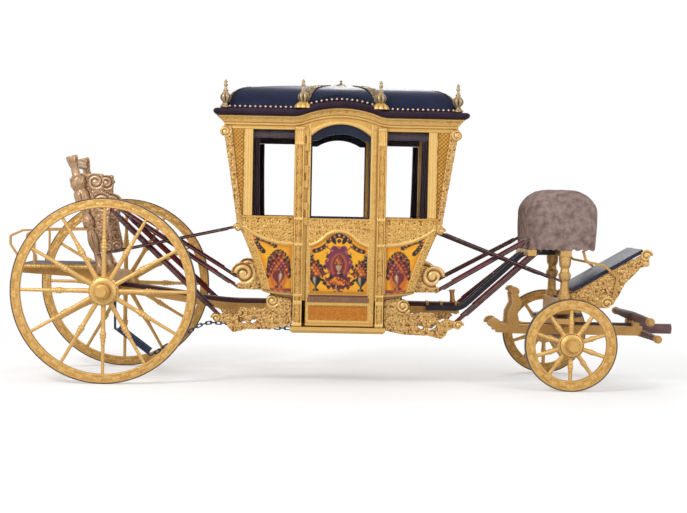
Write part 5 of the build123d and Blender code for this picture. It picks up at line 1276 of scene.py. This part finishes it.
# Draught gear: gilt bars bound with ridged leather where the traces pull, and a ringed pole. Each wrap
# follows its bar's own swelling.
bar_wrap = plain("bar_wrap", (0.20, 0.105, 0.095), (0.060, 0.028, 0.034), 12.0, rough=0.6, shine=0.35)
dress(bar_wrap, "pole_stub")
SPLINTER = ((0.05, 0.026), (0.09, 0.030), (0.30, 0.038), (0.50, 0.044), (0.70, 0.038), (0.91, 0.030),
            (0.95, 0.026))
SWINGLE = ((0.055, 0.024), (0.20, 0.028), (0.50, 0.036), (0.80, 0.028), (0.945, 0.024))
wraps = Shape()
for x, z, half, line in ((2.880, 0.672, 0.830, SPLINTER), (2.962, 0.507, 0.800, SWINGLE)):
    shares = np.arange(0.055, 0.945, 0.0035)
    radii = np.interp(shares, *np.array(line).T)
    turns = 0.0035 * (np.arange(len(shares)) % 3 != 0) + 0.0008
    profile = list(zip((shares - shares[0]) / (shares[-1] - shares[0]), radii + turns))
    revolved(wraps, *[(x, -half + 2 * half * shares[k], z) for k in (0, -1)], profile, 12)
wraps.piece("draught_bar_wraps", bar_wrap, "strap_leather", body="forecarriage")

# Straps: thick black and red leather in layers, paler where the edges are worn, sewn along both edges and
# buckled above each end. Thin straps run beside the thick ones.
red_strap = plain("red_strap", (0.22, 0.018, 0.024), (0.060, 0.006, 0.010), 9.0, rough=0.55, shine=0.15)
black_strap = plain("black_strap", (0.026, 0.020, 0.030), (0.008, 0.006, 0.010), 9.0, rough=0.55, shine=0.12)
pale_edge = plain("pale_edge", (0.26, 0.17, 0.15), (0.10, 0.06, 0.06), 20.0, rough=0.7, shine=0.2)
dress(red_strap, "suspension_straps")
STRAPS = (
    ((-2.340, 0.350, 1.625), (-1.250, 0.575, 0.624), 0.062, 0.013, (0.030, 0.046)),
    ((-2.320, 0.350, 1.712), (-0.995, 0.590, 0.890), 0.062, 0.018, (0.0,)),
    ((1.990, 0.340, 1.385), (1.070, 0.575, 0.592), 0.062, 0.013, (0.030, 0.046)),
    ((1.830, 0.340, 1.463), (0.815, 0.590, 0.890), 0.062, 0.018, (0.0,)),
    ((-2.420, 0.420, 1.200), (-1.015, 0.650, 1.512), 0.042, 0.012, (0.0,)),
    ((2.125, 0.372, 1.010), (0.835, 0.650, 1.500), 0.042, 0.012, (0.0,)),
)
blacks, reds, edges, buckles = Shape(), Shape(), Shape(), Shape()


def bar(shape, ends, wide, thick, lift, off, low=0.03, high=0.97):
    """A flat bar along a strap: wide and thick, lifted off its line and to one side of its middle."""
    first, last = np.array(ends, float)
    length = np.linalg.norm(last - first)
    along = (last - first) / length
    side = np.cross(along, (0, 0, 1.0))
    side /= np.linalg.norm(side)
    normal = np.cross(side, along)
    first, last = first + along * length * low, first + along * length * high
    ring = ((-0.5, -0.5), (0.5, -0.5), (0.5, 0.5), (-0.5, 0.5), (-0.5, -0.5))
    rows = [[end + side * (off + a * wide) + normal * (lift + b * thick) for a, b in ring]
            for end in (first, last)]
    shape.grid(np.array(rows), 0.6)
    for row, turned in ((rows[0], False), (rows[1], True)):
        shape.grid(np.array([[row[0], row[1]], [row[3], row[2]]]), 0.6, flip=turned)


for first, last, wide, thick, lifts in STRAPS:
    for side in (-1, 1):
        ends = [(x, side * y, z) for x, y, z in (first, last)]
        for lift in lifts:
            for hand in (-1, 1):
                bar(edges, ends, 0.0040, thick * 0.5, lift, hand * (wide / 2 + 0.0008))
            bar(blacks, ends, wide * 0.34, thick + 0.003, lift, 0.0)
        above, below, middle = max(lifts) + thick / 2, min(lifts) - thick / 2, sum(lifts) / len(lifts)
        bar(blacks, ends, wide * 0.86, 0.008, above + 0.0045, 0.002, 0.05, 0.93)
        bar(blacks, ends, wide * 0.80, 0.007, below - 0.0040, -0.002, 0.12, 0.90)
        if wide > 0.05:
            bar(reds, ends, wide * 0.40, 0.009, above + 0.0135, 0.008, 0.10, 0.80)
            bar(edges, ends, 0.004, 0.008, above + 0.0045, -wide * 0.43, 0.05, 0.93)
        for place in (0.10, 0.16, 0.30, 0.84):
            bar(buckles, ends, wide + 0.014, above - below + 0.010, middle, 0.0, place, place + 0.018)
for layers, name, material, slot in ((blacks, "black_straps", black_strap, "strap_leather"),
                                     (reds, "thin_red_straps", red_strap, "strap_leather"),
                                     (edges, "strap_edges", pale_edge, "strap_leather"),
                                     (buckles, "strap_buckles", iron, "iron")):
    layers.piece(name, material, slot, smooth=False)

# Drag shoe: a dark iron skid and its chain of forged links, hung under the perch. It goes under a rear
# wheel on a hill.
chain_iron = plain("chain_iron", (0.046, 0.062, 0.135), (0.014, 0.019, 0.040), 14.0, rough=0.5, metal=0.5)
dress(chain_iron, "drag_shoe")

# Footboard: dark leather over boards, worn grey along the driver's heels. It is nailed down between the
# two carved cheeks.
board_leather = plain("board_leather", (0.032, 0.034, 0.070), (0.010, 0.011, 0.026), 5.0, 0.50, shine=0.22)
dress(board_leather, "footboard_front")

# Hammercloth: mauve-brown broadcloth thrown over the driver's seat, its folds deepening to a ragged hem.
# Its rows run from the middle of the seat down to the hem, and are drawn in on the side of the body.
hammercloth = plain("hammercloth", (0.46, 0.335, 0.285), (0.085, 0.048, 0.056), 13.0, rough=0.95, bump=0.014,
                    shine=0.15)
SEAT_X, SEAT_HALF = 2.085, (0.366, 0.470)
SEAT_LEVELS = ((1.3303, 0.97, 0.96), (1.560, 1.0, 1.0), (1.745, 0.99, 0.97), (1.855, 0.78, 0.82),
               (1.912, 0.50, 0.62))
HEM_RAG, FOLDS_FROM = 0.016, 1.25
down = np.concatenate([np.linspace(0, 0.93, 10, endpoint=False), np.linspace(1, 2, 44)])
share, turn = np.meshgrid(down, full_turn(168), indexing="ij")
levels = np.array(SEAT_LEVELS)[::-1]
depths = gone(levels[:, :2] * (1, SEAT_HALF[0]))
on_side = held(share - 1) * depths[-1]
z, half_x, half_y = (np.interp(on_side, depths, column) * size
                     for column, size in zip(levels.T, (1, *SEAT_HALF)))
for value in (z, half_x, half_y):
    padded = np.vstack([value[:1]] * 3 + [value] + [value[-1:]] * 3)
    value[:-6] = (sum(padded[k:k + len(value)] for k in range(7)) / 7)[:-6]
squared = (np.abs(np.cos(turn)) ** 7 + np.abs(np.sin(turn)) ** 7) ** (-1 / 7)
spread = np.where(share < 1, share, 1)
fall = held((share - FOLDS_FROM) / (2 - FOLDS_FROM))
fold = (0.55 * np.sin(11 * turn + 0.8 * np.sin(3 * turn)) + 0.3 * np.sin(23 * turn + 1.1)
        + 0.2 * np.sin(5 * turn + 7 * z))
swell = 1 + (0.042 * fall * fold - 0.016 * fall)
z = z + np.where(share < 1, 0.010 * (1 - share ** 2) + 0.006 * np.sin(9 * turn) * share * (share < 1), 0)
z = z - fall ** 3 * 0.004 * (1 + np.sin(37 * turn + 2)) + fall ** 8 * HEM_RAG * np.abs(np.sin(19 * turn)) ** 3
cover = Shape()
slumped = np.where(np.cos(turn) < 0, 0.93, 1.0)
cover.grid(np.stack([SEAT_X + half_x * spread * squared * np.cos(turn) * swell * slumped,
                     half_y * spread * squared * np.sin(turn) * swell, z], axis=-1), 0.6, wrap_v=True)
seat_cloth = cover.piece("driver_seat_cloth", hammercloth, "hammercloth", ["driver_seat_cover"])

# Wheels: felloes carved with a running leaf on their faces, turned spokes with rings, and a nave with
# gadroons, all in gilt paint. The iron tyre stays as it is.
wheel_gilt = gilding("wheel_gilt", *WHEEL_GOLDS, (0.10, 0.036, 0.008), metal=0.35, fine=60.0)
REAR = {
    "radius": 0.8647, "felloe": 0.082, "spokes": 12, "leaves": 60,
    "nave": ((-0.140, 0.085), (-0.075, 0.105), (-0.050, 0.134), (-0.046, 0.138), (0.040, 0.138),
             (0.046, 0.134), (0.058, 0.104), (0.070, 0.092), (0.096, 0.080), (0.130, 0.080), (0.140, 0.074),
             (0.150, 0.066)),
    "spoke": ((0.120, 0.024), (0.30, 0.021), (0.372, 0.021), (0.380, 0.026), (0.388, 0.021), (0.398, 0.030),
              (0.412, 0.032), (0.425, 0.026), (0.440, 0.031), (0.452, 0.022), (0.470, 0.025), (0.490, 0.019),
              (0.500, 0.024), (0.508, 0.018), (0.56, 0.017), (0.80, 0.0155))}
FRONT = {
    "radius": 0.4297, "felloe": 0.092, "spokes": 10, "leaves": 30,
    "nave": ((-0.140, 0.080), (-0.070, 0.096), (-0.048, 0.118), (-0.044, 0.122), (0.038, 0.122),
             (0.044, 0.118), (0.056, 0.092), (0.068, 0.078), (0.092, 0.066), (0.130, 0.066), (0.140, 0.062),
             (0.150, 0.054)),
    "spoke": ((0.100, 0.023), (0.165, 0.021), (0.175, 0.026), (0.182, 0.021), (0.200, 0.027), (0.218, 0.027),
              (0.226, 0.020), (0.236, 0.025), (0.244, 0.019), (0.37, 0.018))}
WHEEL_HALF, TRACK_HALF = 0.031, 0.800


def felloe_ring(shape, centre, side, spec):
    """The rim, with a running leaf cut in its faces and a bead along its edges."""
    outer, inner = spec["radius"], spec["radius"] - spec["felloe"]
    section = [(inner, -0.6), (inner + 0.004, -0.92), (inner + 0.008, -1.0)]
    section += [(inner + 0.008 + (outer - inner - 0.012) * k / 10, -1.0) for k in range(1, 11)]
    section += [(outer, -0.96), (outer, 0.96)]
    section += [(r, -s) for r, s in section[-3:1:-1]] + [(inner + 0.004, 0.92), (inner, 0.6)]
    radius, across = np.array(section).T
    across = across * WHEEL_HALF
    a, r = np.meshgrid(full_turn(spec["leaves"] * 9), radius, indexing="ij")
    y = np.broadcast_to(across, a.shape)
    share = (r - inner) / (outer - inner)
    run = a * spec["leaves"] / (2 * pi)
    phase = run % 1.0
    bow = 0.5 + 0.16 * np.sin(2 * pi * run / 2)
    wide = 0.26 * np.sin(pi * phase) ** 0.7
    body = held(1 - ((share - bow) / np.maximum(wide, 1e-3)) ** 2) ** 0.5
    vein = 0.75 + 0.25 * np.cos(2 * pi * (2.5 * phase + 2.2 * np.abs(share - bow)))
    border = held(1 - np.abs(share - 0.10) / 0.07) + held(1 - np.abs(share - 0.92) / 0.06)
    relief = held(body * vein + border)
    face = held((np.abs(y) / WHEEL_HALF - 0.93) / 0.07)
    y = y - np.sign(y) * face * 0.0042 * (1 - relief)
    specks = sampled(FOLIAGE, a * outer, r, 0.8)
    relief = np.where(face > 0.5, 0.34 + 0.36 * relief + 0.18 * specks, 0.60)
    points = np.stack([centre[0] + r * np.cos(a), centre[1] + side * y, centre[2] + r * np.sin(a)], axis=-1)
    shape.grid(points, relief, wrap_u=True, wrap_v=True, flip=side > 0)


def gadroons(share, turn, count=24):
    lobes = np.abs(np.cos(turn * count / 2)) ** 0.7
    mask = ((share > 0.34) & (share < 0.62)) * 1.0
    dots = np.abs(np.cos(turn * count / 2)) * ((share > 0.64) & (share < 0.79))
    rings = 0.5 * ((share > 0.63) & (share < 0.645)) + 0.5 * ((share > 0.79) & (share < 0.815))
    face = (share > 0.63) * 1.0
    return held((1 - mask * (1 - lobes)) * (1 - face) + face * (0.52 + 0.4 * dots - rings)), 0.007


def turned_part(shape, at, way, part, *carving, **options):
    """Adds a nave or a spoke, whose profile is given as (reach, radius) from the wheel's centre."""
    (low, _), (high, _) = part[0], part[-1]
    profile = [((reach - low) / (high - low), radius) for reach, radius in part]
    revolved(shape, at + way * low, at + way * high, profile, *carving, **options)


for side, hand in ((-1, "right"), (1, "left")):
    for spec, end, x, axle_z in ((REAR, "rear", -2.300, 0.875), (FRONT, "front", 2.125, 0.440)):
        shape, at = Shape(), np.array((x, side * TRACK_HALF, axle_z))
        felloe_ring(shape, at, side, spec)
        turned_part(shape, at, np.array((0, side, 0)), spec["nave"], 72, gadroons, sub=4)
        for number in range(spec["spokes"]):
            angle = pi / 2 + number * 2 * pi / spec["spokes"]
            way = np.array((cos(angle), 0, sin(angle)))
            turned_part(shape, at, way, spec["spoke"], 18, sub=2, caps=False)
        name = f"{end}_wheel_{hand}"
        shape.piece(name + "_carved", wheel_gilt, "wheel_gilt", [name], body=name + "_turning")
